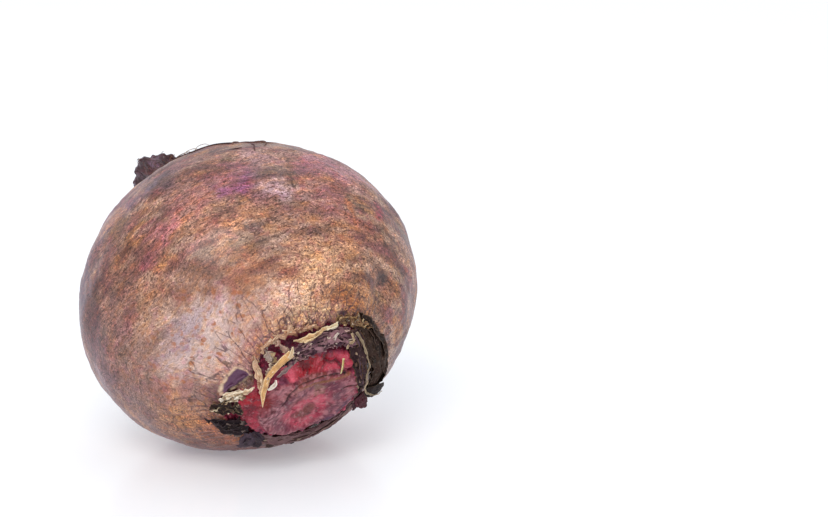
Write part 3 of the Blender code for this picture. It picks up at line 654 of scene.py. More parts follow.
def makeRoot(fleshMaterial, rindMaterial):
    form = rootForm
    marks = ringMarks(form["ringSpacing"])
    longitudes = np.linspace(0, 2 * math.pi, form["meridians"], endpoint=False)
    circle = np.stack([np.cos(longitudes), np.sin(longitudes), 0 * longitudes], -1)
    torn = cloud(circle * 19, 2.6, seed=3, octaves=3)
    place, along = rootPlaces(marks, longitudes, torn)
    normals = gridNormals(place)
    mark = marks[:, None] + 0 * longitudes
    turn = np.degrees(longitudes)[None, :] + 0 * mark
    fromLip = along - along[np.searchsorted(marks, form["lipMark"])]
    fromFace = along - along[np.searchsorted(marks, form["faceMark"])]
    relief, lumps, scar = rootRelief(place, mark, turn, fromLip)
    fields = rootFields(place, mark, turn, fromLip, fromFace, lumps, scar)
    place = place + normals * relief[..., None]
    skin = {"marks": marks, "place": place, "normals": normals}

    # The mesh: its first and last rings are single points
    rings, around = mark.shape
    keep = np.r_[0, around:(rings - 1) * around + 1]
    flat = {}
    for name, values in {**fields, "place": place}.items():
        values = np.reshape(values, (rings * around, -1))[keep]
        flat[name] = values if values.shape[1] > 1 else values[:, 0]
    flat["place"][0, :2] = 0
    number = np.arange((rings - 2) * around).reshape(rings - 2, around) + 1
    after = np.roll(number, -1, axis=1)
    faces = np.stack([number[:-1], number[1:], after[1:], after[:-1]], -1).reshape(-1, 4).tolist()
    last = len(keep) - 1
    faces += [(0, a, b) for a, b in zip(number[0].tolist(), after[0].tolist())]
    faces += [(last, b, a) for a, b in zip(number[-1].tolist(), after[-1].tolist())]
    places = flat.pop("place")
    piece = newPiece("beetRoot", places, faces, rindMaterial, flat)
    piece.data.materials.append(fleshMaterial)
    inner = np.array([flat["fromLip"][list(face)].max() for face in faces]) < -0.3
    piece.data.polygons.foreach_set("material_index", inner.astype(np.int32))
    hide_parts("root")
    return piece, skin


def startMaterial(name):
    material = bpy.data.materials.new(name)
    material.use_nodes = True
    tree = material.node_tree
    return material, tree, tree.nodes["Principled BSDF"]


def readFields(tree, names):
    # The mesh's own fields as sockets, vectors and numbers
    sockets = {}
    for name in names:
        node = addNode(tree, "ShaderNodeAttribute", attribute_name=name)
        sockets[name] = node.outputs["Vector" if name.endswith("Place") else "Fac"]
    return sockets


def addMath(tree, operation, *inputs, vector=False):
    kind = "ShaderNodeVectorMath" if vector else "ShaderNodeMath"
    return addNode(tree, kind, dict(enumerate(inputs)), operation=operation).outputs[0]


def remap(tree, source, low=0.0, high=1.0, start=0.0, end=1.0):
    # What runs from low to high then runs from start to end, and stops there
    inputs = {0: source, 1: low, 2: high, 3: start, 4: end}
    return addNode(tree, "ShaderNodeMapRange", inputs).outputs[0]


def product(tree, *factors):
    out = factors[0]
    for factor in factors[1:]:
        out = addMath(tree, "MULTIPLY", out, factor)
    return out


plainGrain = {"on": "axisPlace", "stretch": (1, 1, 1), "detail": 2.0}


def addGrains(tree, grains, sockets):
    # Textures by name: each has a size in mm, a stretch, detail and the span that becomes 0 to 1
    for name, grain in grains.items():
        grain = {**plainGrain, **grain}
        scale = tuple(share / grain["size"] for share in grain["stretch"])
        place = addMath(tree, "MULTIPLY", sockets[grain["on"]], scale, vector=True)
        if "warp" in grain:
            inputs = {"Vector": place, "Scale": 1.3, "Detail": 1.0}
            sway = addNode(tree, "ShaderNodeTexNoise", inputs).outputs["Color"]
            place = addMath(tree, "MULTIPLY_ADD", sway, (grain["warp"],) * 3, place, vector=True)
        inputs = {"Vector": place, "Scale": 1.0}
        if "cells" in grain:
            texture = addNode(tree, "ShaderNodeTexVoronoi", inputs, feature=grain["cells"])
        else:
            inputs.update({"Detail": grain["detail"], "Roughness": 0.6})
            texture = addNode(tree, "ShaderNodeTexNoise", inputs)
        sockets[name] = remap(tree, texture.outputs[0], *grain["span"])


def addLayers(tree, base, layers):
    # Mixes layers by their factors: a hex colour or a socket covers what is below, three gains multiply it
    for factor, tint in layers:
        blend = "MIX"
        if isinstance(tint, str):
            tint = colour(tint)
        elif isinstance(tint, tuple):
            tint, blend = (*tint, 1), "MULTIPLY"
        inputs = {0: factor, 6: base, 7: tint}
        base = addNode(tree, "ShaderNodeMix", inputs, data_type="RGBA", blend_type=blend).outputs[2]
    return base


def addBump(tree, shader, height, strength, depth):
    # Fine relief, its depth in mm
    inputs = {"Strength": strength, "Distance": depth * mm, "Height": height}
    relief = addNode(tree, "ShaderNodeBump", inputs)
    tree.links.new(relief.outputs[0], shader.inputs["Normal"])


def setShader(shader, values):
    for name, value in values.items():
        shader.inputs[name].default_value = value


# Corky rind of a stored root: thin dry bark over mauve skin, so it is satin, streaked round the root,
# finely speckled, and cracked near the crown
rindFinish = {
    "roughness": 0.55,
    "coat": 0.3,
    "coatRoughness": 0.22,
    "sheen": 0.14,
    "sheenTint": "#d6cdf0",
    "orange": "#a05c2e",
    "crackle": "#7d4a55",
    "fleck": "#4f2c22",
    "crack": "#3f2328",
    "scarRim": "#d8bc9c",
    "scar": "#5a3250",
    "bumpDepth": 0.07,
}
# Streaks and flecks that run round the root read turnPlace, the others axisPlace
rindGrains = {
    "streak": {"on": "turnPlace", "size": 2.6, "stretch": (0.34, 0.34, 1), "detail": 4,
               "span": (0.46, 0.66)},
    "paleStreak": {"on": "turnPlace", "size": 2.0, "stretch": (0.36, 0.36, 1), "detail": 4,
                   "span": (0.50, 0.68)},
    "orangeFleck": {"on": "turnPlace", "size": 1.4, "stretch": (0.8, 0.8, 1), "detail": 4,
                    "span": (0.47, 0.64)},
    "mauveFleck": {"size": 2.3, "detail": 4, "span": (0.50, 0.66)},
    "creamFleck": {"on": "turnPlace", "size": 0.42, "stretch": (0.8, 0.8, 1), "detail": 1,
                   "span": (0.55, 0.66)},
    "darkFleck": {"on": "turnPlace", "size": 0.46, "stretch": (0.8, 0.8, 1), "detail": 1,
                  "span": (0.54, 0.66)},
    "grain": {"size": 0.30, "detail": 0, "span": (0.35, 0.65)},
    "pore": {"size": 1.0, "warp": 0.4, "cells": "F1", "span": (0.30, 0.18)},
    "rimWhere": {"size": 2.0, "detail": 2, "span": (0.38, 0.58)},
    "speck": {"size": 0.9, "detail": 2, "span": (0.66, 0.72)},
    "dots": {"size": 2.2, "warp": 0.5, "cells": "F1", "span": (0.36, 0.24)},
    "dotWhere": {"size": 3.0, "detail": 2, "span": (0.42, 0.56)},
    "crackLine": {"on": "turnPlace", "size": 2.3, "stretch": (1, 1, 0.30), "warp": 0.6,
                  "cells": "DISTANCE_TO_EDGE", "span": (0.045, 0.02)},
    "crackWhere": {"size": 3.0, "detail": 2, "span": (0.42, 0.52)},
    "crackle": {"size": 1.3, "warp": 0.7, "cells": "DISTANCE_TO_EDGE", "span": (0.12, 0.05)},
    "rib": {"on": "turnPlace", "size": 0.8, "stretch": (1, 1, 0.15), "detail": 3, "span": (0.44, 0.66)},
    "pitSpot": {"on": "turnPlace", "size": 1.3, "stretch": (0.6, 0.6, 1.7), "detail": 1,
                "span": (0.60, 0.66)},
}


def makeRindMaterial():
    # Gives the eye a dry tan bark with a mauve root under it
    finish = rindFinish
    material, tree, shader = startMaterial("corkyRind")
    s = readFields(tree, ["axisPlace", "turnPlace", "tintPlace", "pale", "pits", "fromLip", "fromScar"])
    addGrains(tree, rindGrains, s)
    nearLip = remap(tree, s["fromLip"], 12.0, 4.0)
    farLip = remap(tree, s["fromLip"], 17.0, 9.0)
    closeLip = remap(tree, s["fromLip"], 8.0, 2.5)
    grainy = remap(tree, s["pale"], start=1.0, end=0.35)
    cracks = product(tree, s["crackLine"], farLip, s["crackWhere"])
    crackle = product(tree, s["crackle"], closeLip)
    base = addLayers(tree, s["tintPlace"], [
        (1.0, (1.05, 0.97, 0.89)),
        (product(tree, s["streak"], grainy), (0.56, 0.51, 0.50)),
        (s["paleStreak"], (1.34, 1.34, 1.32)),
        (s["mauveFleck"], (0.94, 0.76, 0.88)),
        (s["orangeFleck"], (1.12, 0.955, 0.71)),
        (product(tree, s["rib"], nearLip), (0.74, 0.58, 0.50)),
        (product(tree, s["creamFleck"], grainy), (1.78, 1.82, 1.76)),
        (product(tree, s["darkFleck"], grainy), (0.36, 0.29, 0.26)),
        (product(tree, s["grain"], grainy), (0.56, 0.52, 0.49)),
        (product(tree, s["pore"], grainy, 0.7), (0.45, 0.34, 0.28)),
        (product(tree, s["dots"], s["pale"], s["dotWhere"], 0.85), finish["orange"]),
        (product(tree, s["speck"], 0.70), finish["crack"]),
        (product(tree, s["pitSpot"], s["pits"], 0.95), finish["fleck"]),
        (product(tree, crackle, 0.6), finish["crackle"]),
        (product(tree, cracks, 0.75), finish["crack"]),
    ])
    # The leaf scar is smooth and purple, with a cream rim
    rim = remap(tree, s["fromScar"], 1.0, 0.45)
    hollow = remap(tree, s["fromScar"], 0.25, -0.1)
    base = addLayers(tree, base, [
        (product(tree, rim, s["rimWhere"], 0.9), finish["scarRim"]),
        (hollow, finish["scar"]),
    ])
    tree.links.new(base, shader.inputs["Base Color"])
    height = s["grain"]
    for part, share in [
        (s["creamFleck"], 0.4),
        (s["pore"], -0.6),
        (cracks, -2.0),
        (crackle, -1.2),
        (s["rib"], -0.8),
    ]:
        height = addMath(tree, "MULTIPLY_ADD", part, share, height)
    addBump(tree, shader, height, 0.5, finish["bumpDepth"])
    setShader(shader, {
        "Roughness": finish["roughness"],
        "IOR": 1.45,
        "Coat Weight": finish["coat"],
        "Coat Roughness": finish["coatRoughness"],
        "Sheen Weight": finish["sheen"],
        "Sheen Roughness": 0.35,
        "Sheen Tint": colour(finish["sheenTint"]),
    })
    return material


# Flesh of the cut crown: dried and dull on the sawn face, wet and glossy red where it tore
fleshFinish = {
    "gain": (0.88, 0.66, 0.68),
    "glint": "#b59a9a",
    "dryRoughness": 0.5,
    "wetRoughness": 0.12,
    "bumpDepth": 0.2,
}
fleshGrains = {
    "blotch": {"size": 1.6, "detail": 3, "span": (0.35, 0.65)},
    "grain": {"size": 0.5, "detail": 1, "span": (0.3, 0.7)},
    "glint": {"size": 1.1, "detail": 2, "span": (0.60, 0.70)},
}


def makeFleshMaterial():
    # Gives the eye a grey-pink dry face with growth rings, and a juicy red flank round it
    finish = fleshFinish
    material, tree, shader = startMaterial("cutFlesh")
    s = readFields(tree, ["axisPlace", "tintPlace", "wet"])
    addGrains(tree, fleshGrains, s)
    base = addLayers(tree, s["tintPlace"], [
        (1.0, finish["gain"]),
        (product(tree, s["glint"], 0.25), finish["glint"]),
    ])
    shade = remap(tree, s["grain"], start=0.84, end=1.16)
    base = addMath(tree, "MULTIPLY", base, shade, vector=True)
    tree.links.new(base, shader.inputs["Base Color"])
    rough = remap(tree, s["wet"], start=finish["dryRoughness"], end=finish["wetRoughness"])
    tree.links.new(rough, shader.inputs["Roughness"])
    height = addMath(tree, "MULTIPLY_ADD", s["grain"], 0.3, s["blotch"])
    addBump(tree, shader, height, 0.7, finish["bumpDepth"])
    setShader(shader, {"IOR": 1.38})
    return material


def overGlobe(x, y, lift):
    return np.stack([x, y, globeHeight(np.hypot(x, y)) + lift], -1)


def globeNormal(x, y):
    radius = np.maximum(np.hypot(x, y), 1e-6)
    slope = globeHeight(radius + 0.5) - globeHeight(radius - 0.5)
    normal = np.stack([-slope * x / radius, -slope * y / radius, np.ones_like(x)], -1)
    return normal / np.linalg.norm(normal, axis=-1, keepdims=True)


def rowsUnit(rows):
    return rows / np.maximum(np.linalg.norm(rows, axis=-1, keepdims=True), 1e-9)


# A strip's look, where its cluster says nothing else: lengths in mm, of which grain is its mesh's
# spacing, but ragged and cup are shares of its width
plainLook = {
    "grain": 0.3,
    "tear": 0.8,
    "ragged": 0.35,
    "raggedSize": 1.4,
    "cup": 0.0,
    "crumple": 0.5,
    "crumpleSize": 1.6,
    "furrow": 0.12,
    "furrowSize": 0.42,
    "thick": 0.35,
    "gap": 0.1,
}


def pushClear(middle, normal, gap, thick, under):
    # How far each point of a strip has to rise along its normal so that it lies over the root
    reach = 14
    push = np.zeros(thick.shape)
    for row, column in np.ndindex(push.shape):
        place, up = Vector(middle[row, column]), Vector(normal[row, column])
        distance = under.ray_cast(place + up * reach, -up, 2 * reach)[3]
        if distance is not None:
            push[row, column] = max(0, reach - distance + gap + thick[row, column] / 2)
    return push


def sheetFaces(rows, columns):
    # Faces of a thin closed sheet, whose upper points come first and its lower ones after them
    count = (rows + 1) * (columns + 1)
    number = np.arange(count).reshape(rows + 1, columns + 1)
    a, b, c, d = number[:-1, :-1], number[1:, :-1], number[1:, 1:], number[:-1, 1:]
    top = np.stack([a, b, c, d], -1).reshape(-1, 4)
    bottom = np.stack([d, c, b, a], -1).reshape(-1, 4) + count
    rim = np.concatenate([number[0, :], number[1:, -1], number[-1, -2::-1], number[-2:0:-1, 0]])
    following = np.roll(rim, -1)
    edge = np.stack([rim, following, following + count, rim + count], -1)
    return np.concatenate([top, bottom, edge])


def makeRibbon(spine, look, seed, under):
    # A thin closed strip through points of x, y, lift over the globe, half width and roll
    look = {**plainLook, "edge": look["tint"], **look}
    x, y, lift, half, roll = curveThrough(spine, 14).T
    centre = overGlobe(x, y, lift)
    travel = np.r_[0, np.cumsum(np.linalg.norm(np.diff(centre, axis=0), axis=-1))]
    onward = rowsUnit(np.gradient(centre, axis=0))
    level = rowsUnit(np.cross(globeNormal(x, y), onward))
    upright = np.cross(onward, level)
    angle = np.radians(roll)[:, None]
    across = level * np.cos(angle) + upright * np.sin(angle)
    lifted = upright * np.cos(angle) - level * np.sin(angle)
    rows = max(8, int(travel[-1] / look["grain"]))
    columns = max(4, min(26, int(2 * half.max() / look["grain"])))
    aside = np.linspace(-1, 1, columns + 1)[None, :] + np.zeros((rows + 1, 1))
    share = np.linspace(0, 1, rows + 1)[:, None]

    # Torn ends
    lines = np.stack([aside[0] * half.max(), 0 * aside[0], 0 * aside[0] + seed], -1)
    jagStart = look["tear"] * (0.4 + cloud(lines, 0.9, seed=51, octaves=2))
    jagEnd = look["tear"] * (0.4 + cloud(lines, 0.9, seed=52, octaves=2))
    spot = jagStart + (travel[-1] - jagEnd - jagStart) * share

    def pick(values):
        parts = np.reshape(values, (len(travel), -1)).T
        return np.stack([np.interp(spot, travel, part) for part in parts], -1)

    # Ragged sides, and a crumpled, furrowed sheet between them
    width = pick(half)[..., 0]
    sides = np.stack([np.sign(aside) * 40, spot, 0 * spot + 9 * seed], -1)
    notches = cloud(sides, look["raggedSize"], seed=53, octaves=3)
    width = width * (1 + look["ragged"] * 2 * np.abs(aside) * notches)
    offset = aside * width
    flat = np.stack([offset, spot, 0 * spot + 7 * seed], -1)
    rise = look["cup"] * aside**2 * width
    rise = rise + look["crumple"] * cloud(flat * (1, 0.6, 1), look["crumpleSize"], seed=54, octaves=3)
    rise = rise + look["furrow"] * cloud(flat * (1, 0.12, 1), look["furrowSize"], seed=55)
    middle = pick(centre) + pick(across) * offset[..., None] + pick(lifted) * rise[..., None]
    taper = np.sqrt(np.clip(1 - 0.95 * aside**2, 0, 1))
    taper = taper * np.clip(5 * share, 0.35, 1) * np.clip(5 * (1 - share), 0.35, 1)
    thick = look["thick"] * taper
    normal = globeNormal(middle[..., 0], middle[..., 1])
    middle = middle + normal * pushClear(middle, normal, look["gap"], thick, under)[..., None]
    facing = rowsUnit(np.cross(np.gradient(middle, axis=1), np.gradient(middle, axis=0)))
    facing *= np.sign(np.sum(facing * normal, -1, keepdims=True) + 1e-9)
    deep = facing * thick[..., None] / 2
    places = np.concatenate([(middle + deep).reshape(-1, 3), (middle - deep).reshape(-1, 3)])

    # Wind the faces outward
    faces = sheetFaces(rows, columns)
    corners = places[faces[rows * columns // 2]]
    turned = np.cross(corners[1] - corners[0], corners[2] - corners[0])
    if np.dot(turned, facing[rows // 2, columns // 2]) <= 0:
        faces = faces[:, ::-1]
    fromSide = width * (1 - np.abs(aside))
    fromEnd = np.minimum(spot - jagStart, travel[-1] - jagEnd - spot)
    fields = {"stripPlace": flat.reshape(-1, 3), "fromEdge": np.minimum(fromSide, fromEnd).reshape(-1)}
    fields = {name: np.concatenate([values, values]) for name, values in fields.items()}
    for name in ("tint", "edge"):
        fields[name + "Place"] = np.zeros(places.shape) + np.array(colour(look[name])[:3])
    return places, faces, fields


def joinParts(parts):
    places, faces, fields, count = [], [], {}, 0
    for partPlaces, partFaces, partFields in parts:
        places.append(partPlaces)
        faces += (partFaces + count).tolist()
        count += len(partPlaces)
        for name, values in partFields.items():
            fields.setdefault(name, []).append(values)
    return np.concatenate(places), faces, {name: np.concatenate(values) for name, values in fields.items()}


# A cluster's strips, where it says nothing else: lengths in mm
plainCluster = {
    "look": {},
    "base": True,
    "layers": 0,
    "pile": 0.7,
    "narrow": (0.2, 0.5),
    "scraps": 0,
    "scrapTints": [],
    "scrapTurn": 0.6,
    "scrapLength": 1.6,
    "scrapWidth": (0.16, 0.42),
}
scrapLook = {"tear": 0.3, "grain": 0.25, "thick": 0.25}


def makeCluster(cluster, seed, under):
    # A broad strip and narrower torn layers over it, all along one spine
    cluster = {**plainCluster, **cluster}
    tints, scrapTints, pile = cluster["tints"], cluster["scrapTints"], cluster["pile"]
    draw = np.random.default_rng(seed)
    spine = np.array(cluster["spine"], float)
    base = {**cluster["look"], "tint": tints[0]}
    parts = [makeRibbon(spine, base, seed, under)] if cluster["base"] else []
    dense = curveThrough(spine, 6)
    last = len(dense) - 1
    for layer in range(cluster["layers"]):
        begin, end = draw.uniform(0, 0.35), draw.uniform(0.6, 1.0)
        picks = dense[np.linspace(begin * last, end * last, len(spine) + 1).astype(int)].copy()
        way = np.gradient(picks[:, :2], axis=0)
        way /= np.maximum(np.linalg.norm(way, axis=1, keepdims=True), 1e-6)
        side = draw.uniform(-0.85, 0.85) * picks[:, 3] + draw.uniform(-0.25, 0.25, len(picks))
        picks[:, 0] -= way[:, 1] * side
        picks[:, 1] += way[:, 0] * side
        picks[:, 2] += draw.uniform(0.15, pile) + draw.uniform(-0.15, 0.15, len(picks))
        picks[:, 3] *= draw.uniform(*cluster["narrow"])
        picks[-1, 3] *= 0.4
        picks[:, 4] += draw.uniform(-28, 28)
        look = {**base, "tint": tints[draw.integers(len(tints))], "tear": 0.4}
        parts.append(makeRibbon(picks, look, seed + 0.37 * (layer + 1), under))
    # Short crumpled scraps lie over them in all directions
    for scrap in range(cluster["scraps"]):
        at = draw.integers(1, last)
        x, y, lift, half = dense[at, :4]
        heading = math.atan2(dense[at, 1] - dense[at - 1, 1], dense[at, 0] - dense[at - 1, 0])
        aside = draw.uniform(-0.9, 0.9) * half
        x, y = x - math.sin(heading) * aside, y + math.cos(heading) * aside
        heading += draw.normal(0, cluster["scrapTurn"])
        reach = cluster["scrapLength"] * draw.uniform(0.5, 1.1)
        wide = draw.uniform(*cluster["scrapWidth"])
        picks = []
        for step in (-0.5, 0.0, 0.5):
            rise, roll = draw.uniform(0.1, pile), draw.uniform(-50, 50)
            ahead, across = math.cos(heading) * reach * step, math.sin(heading) * reach * step
            picks.append((x + ahead, y + across, lift + rise, wide, roll))
        tint = scrapTints[draw.integers(len(scrapTints))]
        look = {**base, **scrapLook, "tint": tint, "edge": tint}
        parts.append(makeRibbon(np.array(picks), look, seed + 0.013 * (scrap + 1), under))
    return parts


# Dried leaf bases round the stump: each a cluster of torn layers through points of x, y, lift,
# half width and roll, in mm and degrees
leafClusters = {
    "upperSheath": {
        "spine": [(-7.2, 10.6, 2.0, 0.8, -10), (-4.6, 12.8, 2.3, 1.4, -14), (-1.2, 14.4, 2.5, 1.8, -16),
                  (2.6, 15.6, 2.6, 2.0, -16), (6.2, 16.4, 2.6, 2.0, -12), (9.6, 15.9, 2.6, 2.0, -8),
                  (12.2, 13.4, 3.0, 1.6, 0)],
        "tints": ["#72505a", "#926c74", "#462e3a"],
        "look": {"crumple": 1.5, "crumpleSize": 1.3, "furrow": 0.12, "edge": "#967476"},
        "layers": 4,
        "scraps": 60,
        "scrapTints": ["#2a1a24", "#42283a", "#7d5a60", "#c8a89c", "#e6d2c2", "#5c3846", "#a48484",
                       "#241820"],
        "pile": 0.8,
    },
    "mauveSliver": {
        "spine": [(-3.0, 12.6, 2.6, 0.35, 0), (-5.6, 10.0, 3.0, 0.45, 0), (-7.6, 8.0, 3.0, 0.3, 0)],
        "tints": ["#806c6c"],
        "look": {"crumple": 0.5, "thick": 0.25, "edge": "#a8958c"},
    },
    "innerFold": {
        "spine": [(11.6, 17.0, 2.6, 1.5, 8), (12.9, 14.6, 3.2, 2.0, 16), (13.5, 11.0, 3.5, 2.0, 20),
                  (14.3, 7.2, 3.6, 1.9, 22), (15.2, 3.4, 3.5, 1.6, 20), (16.0, 0.0, 3.2, 1.2, 14),
                  (16.8, -3.4, 2.4, 0.9, 8)],
        "tints": ["#3c2a2e", "#54404a", "#241a1e"],
        "look": {"crumple": 1.2, "crumpleSize": 1.6, "furrow": 0.5, "furrowSize": 1.3, "edge": "#6a4e38",
                 "ragged": 0.12},
        "layers": 3,
        "narrow": (0.25, 0.5),
        "pile": 0.35,
        "scraps": 22,
        "scrapTints": ["#7a6068", "#5c4438", "#96806c", "#1e1618", "#4a3040", "#2a2024"],
    },
    "tanSquiggle": {
        "spine": [(10.7, 17.6, 3.9, 0.25, 0), (11.7, 15.4, 4.1, 0.35, 20), (10.5, 14.2, 4.0, 0.35, 0),
                  (10.1, 12.7, 3.6, 0.15, 0)],
        "tints": ["#a88d6e"],
        "look": {"crumple": 0.4, "thick": 0.2, "edge": "#d2bc9a", "grain": 0.22},
    },
    "outerFold": {
        "spine": [(13.6, 19.0, 1.8, 1.4, -4), (17.0, 15.4, 2.4, 2.3, -10), (20.3, 9.5, 2.7, 3.7, -12),
                  (21.8, 4.8, 2.8, 4.1, -12), (22.2, 0.8, 2.9, 4.1, -10), (21.7, -2.0, 3.0, 3.3, -8),
                  (21.0, -4.0, 3.0, 1.9, -4), (20.7, -5.2, 2.9, 0.6, 0)],
        "tints": ["#392a22", "#48362c", "#241a16"],
        "look": {"crumple": 0.9, "crumpleSize": 2.2, "furrow": 0.8, "furrowSize": 1.5, "edge": "#54433a",
                 "ragged": 0.12},
        "layers": 4,
        "narrow": (0.2, 0.4),
        "pile": 0.3,
        "scraps": 9,
        "scrapTints": ["#6a5440", "#5a4638", "#86694c", "#1c1412"],
        "scrapLength": 2.4,
    },
    "paleFold": {
        "spine": [(12.4, 17.2, 4.2, 0.3, 20), (13.6, 15.3, 4.6, 0.3, 20), (14.4, 13.7, 4.8, 0.24, 20),
                  (15.0, 12.3, 4.8, 0.22, 20), (15.8, 10.5, 4.9, 0.24, 24), (16.3, 9.1, 4.9, 0.2, 24),
                  (17.0, 7.3, 4.9, 0.22, 24), (16.9, 5.9, 4.9, 0.2, 20), (16.6, 4.4, 4.9, 0.18, 20),
                  (16.9, 3.0, 4.8, 0.17, 16), (17.5, 1.5, 4.8, 0.17, 10), (17.2, 0.6, 4.8, 0.18, 6),
                  (17.2, -0.6, 4.8, 0.2, 0), (17.9, -2.1, 4.8, 0.2, 0), (19.2, -3.4, 4.8, 0.2, 0),
                  (21.4, -5.2, 4.7, 0.18, 0), (23.5, -6.4, 4.5, 0.16, 0), (25.0, -7.0, 4.2, 0.12, 0)],
        "tints": ["#8a7860"],
        "look": {"crumple": 0.2, "ragged": 0.45, "edge": "#a8967c", "thick": 0.25, "grain": 0.2,
                 "furrow": 0.05, "tear": 0.1},
    },
    "hangingLobe": {
        "spine": [(17.9, -1.9, 4.0, 0.6, 0), (19.0, -2.8, 4.2, 1.4, 0), (20.7, -3.6, 4.3, 1.9, 0),
                  (22.5, -4.4, 4.2, 2.1, 0), (23.9, -5.0, 4.0, 1.7, 0), (24.9, -5.5, 3.8, 0.6, 0)],
        "tints": ["#140d0d"],
        "look": {"crumple": 0.3, "crumpleSize": 2.4, "furrow": 0.05, "edge": "#4d4034", "ragged": 0.06,
                 "tear": 0.0},
    },
    "redToothOuter": {
        "spine": [(17.4, -4.8, 2.6, 1.5, 0), (19.4, -8.0, 3.0, 1.3, 0), (21.0, -10.8, 3.1, 0.8, 0),
                  (22.4, -13.0, 3.1, 0.15, 0)],
        "tints": ["#4e1c2a", "#3a1420"],
        "look": {"crumple": 0.4, "ragged": 0.12, "tear": 0.1, "furrow": 0.2},
        "layers": 1,
    },
    "redToothMiddle": {
        "spine": [(17.2, -6.0, 2.4, 1.3, 0), (19.0, -9.2, 2.8, 1.0, 0), (20.9, -12.6, 2.8, 0.15, 0)],
        "tints": ["#54202e"],
        "look": {"crumple": 0.4, "ragged": 0.15, "tear": 0.1},
    },
    "redToothInner": {
        "spine": [(16.6, -7.0, 2.0, 1.2, 0), (17.8, -10.2, 2.0, 0.9, 0), (18.7, -13.5, 1.8, 0.15, 0)],
        "tints": ["#43202c"],
        "look": {"crumple": 0.5, "ragged": 0.3, "tear": 0.1},
    },
    "leftUpperFlap": {
        "spine": [(-14.2, -2.0, 1.9, 1.4, 0), (-16.6, -3.2, 1.7, 1.9, 8), (-19.0, -3.8, 1.3, 1.6, 4),
                  (-20.8, -4.0, 1.0, 0.8, 0)],
        "tints": ["#241a1a", "#3a2c28"],
        "look": {"crumple": 1.3, "ragged": 0.5, "edge": "#6f5c48"},
        "layers": 3,
        "scraps": 20,
        "scrapTints": ["#2a2322", "#a8957a", "#d5c4a6", "#4d4038", "#191416", "#6f604f"],
    },
    "leftMiddleFlap": {
        "spine": [(-11.4, -9.2, 1.9, 2.2, 0), (-13.8, -9.9, 1.8, 3.2, 8), (-16.2, -10.0, 1.5, 2.3, 6),
                  (-18.6, -9.8, 1.1, 1.1, 0), (-21.2, -9.8, 0.7, 0.3, 0)],
        "tints": ["#231a20", "#32262e", "#151014"],
        "look": {"crumple": 0.9, "crumpleSize": 1.9, "ragged": 0.3, "furrow": 0.25, "furrowSize": 0.8,
                 "edge": "#443b40"},
        "layers": 4,
        "scraps": 12,
        "scrapTints": ["#4a4044", "#6a5d58", "#1a1418", "#352c30"],
    },
    "leftLowerFlap": {
        "spine": [(-10.6, -11.4, 2.0, 1.4, 0), (-9.8, -13.8, 2.0, 2.5, -6), (-9.0, -16.6, 1.7, 3.1, -6),
                  (-8.4, -19.4, 1.2, 3.0, -2), (-8.0, -21.4, 0.8, 2.2, 0)],
        "tints": ["#463846", "#564654", "#30242f"],
        "look": {"crumple": 0.45, "crumpleSize": 2.8, "ragged": 0.12, "furrow": 0.12, "furrowSize": 0.8,
                 "edge": "#4b404a"},
        "layers": 2,
    },
    "underRind": {
        "spine": [(-9.6, -13.4, 1.5, 1.5, 0), (-5.4, -16.0, 1.6, 2.3, 4), (-0.6, -17.0, 1.7, 2.6, 6),
                  (4.6, -16.8, 1.7, 2.6, 6), (9.6, -15.2, 1.8, 2.5, 6), (13.8, -11.8, 1.9, 2.2, 6),
                  (16.6, -7.4, 2.1, 1.8, 4), (17.3, -3.2, 2.2, 1.3, 0), (17.3, 0.4, 2.4, 0.8, 0)],
        "tints": ["#7a5c5e", "#68494c", "#8c6e64"],
        "look": {"crumple": 0.35, "crumpleSize": 1.8, "ragged": 0.16, "raggedSize": 1.1, "furrow": 0.08,
                 "edge": "#41302f", "tear": 0.6},
        "layers": 4,
        "narrow": (0.12, 0.3),
        "pile": 0.25,
        "scraps": 8,
        "scrapTints": ["#8f7c70", "#4a3836", "#a08c7c"],
    },
    "underToothLeft": {
        "spine": [(-3.2, -18.8, 1.4, 1.1, 0), (-2.7, -20.8, 1.1, 0.9, 0), (-1.9, -22.6, 0.7, 0.25, 0)],
        "tints": ["#3f302c"],
        "look": {"crumple": 0.4, "ragged": 0.4, "tear": 0.5},
    },
    "underToothMiddle": {
        "spine": [(2.2, -18.8, 1.4, 1.2, 0), (3.0, -20.6, 1.1, 0.9, 0), (4.2, -22.2, 0.7, 0.25, 0)],
        "tints": ["#372a27"],
        "look": {"crumple": 0.4, "ragged": 0.4, "tear": 0.5},
    },
    "underToothRight": {
        "spine": [(7.0, -18.2, 1.4, 1.0, 0), (8.3, -19.8, 1.1, 0.7, 0), (9.8, -21.2, 0.7, 0.2, 0)],
        "tints": ["#332624"],
        "look": {"crumple": 0.4, "ragged": 0.4, "tear": 0.4},
    },
    "underSpike": {
        "spine": [(10.6, -17.0, 1.4, 0.8, 0), (12.6, -18.2, 1.2, 0.5, 0), (15.0, -19.2, 0.9, 0.12, 0)],
        "tints": ["#1d1618"],
        "look": {"crumple": 0.3, "ragged": 0.2, "tear": 0.1},
    },
}
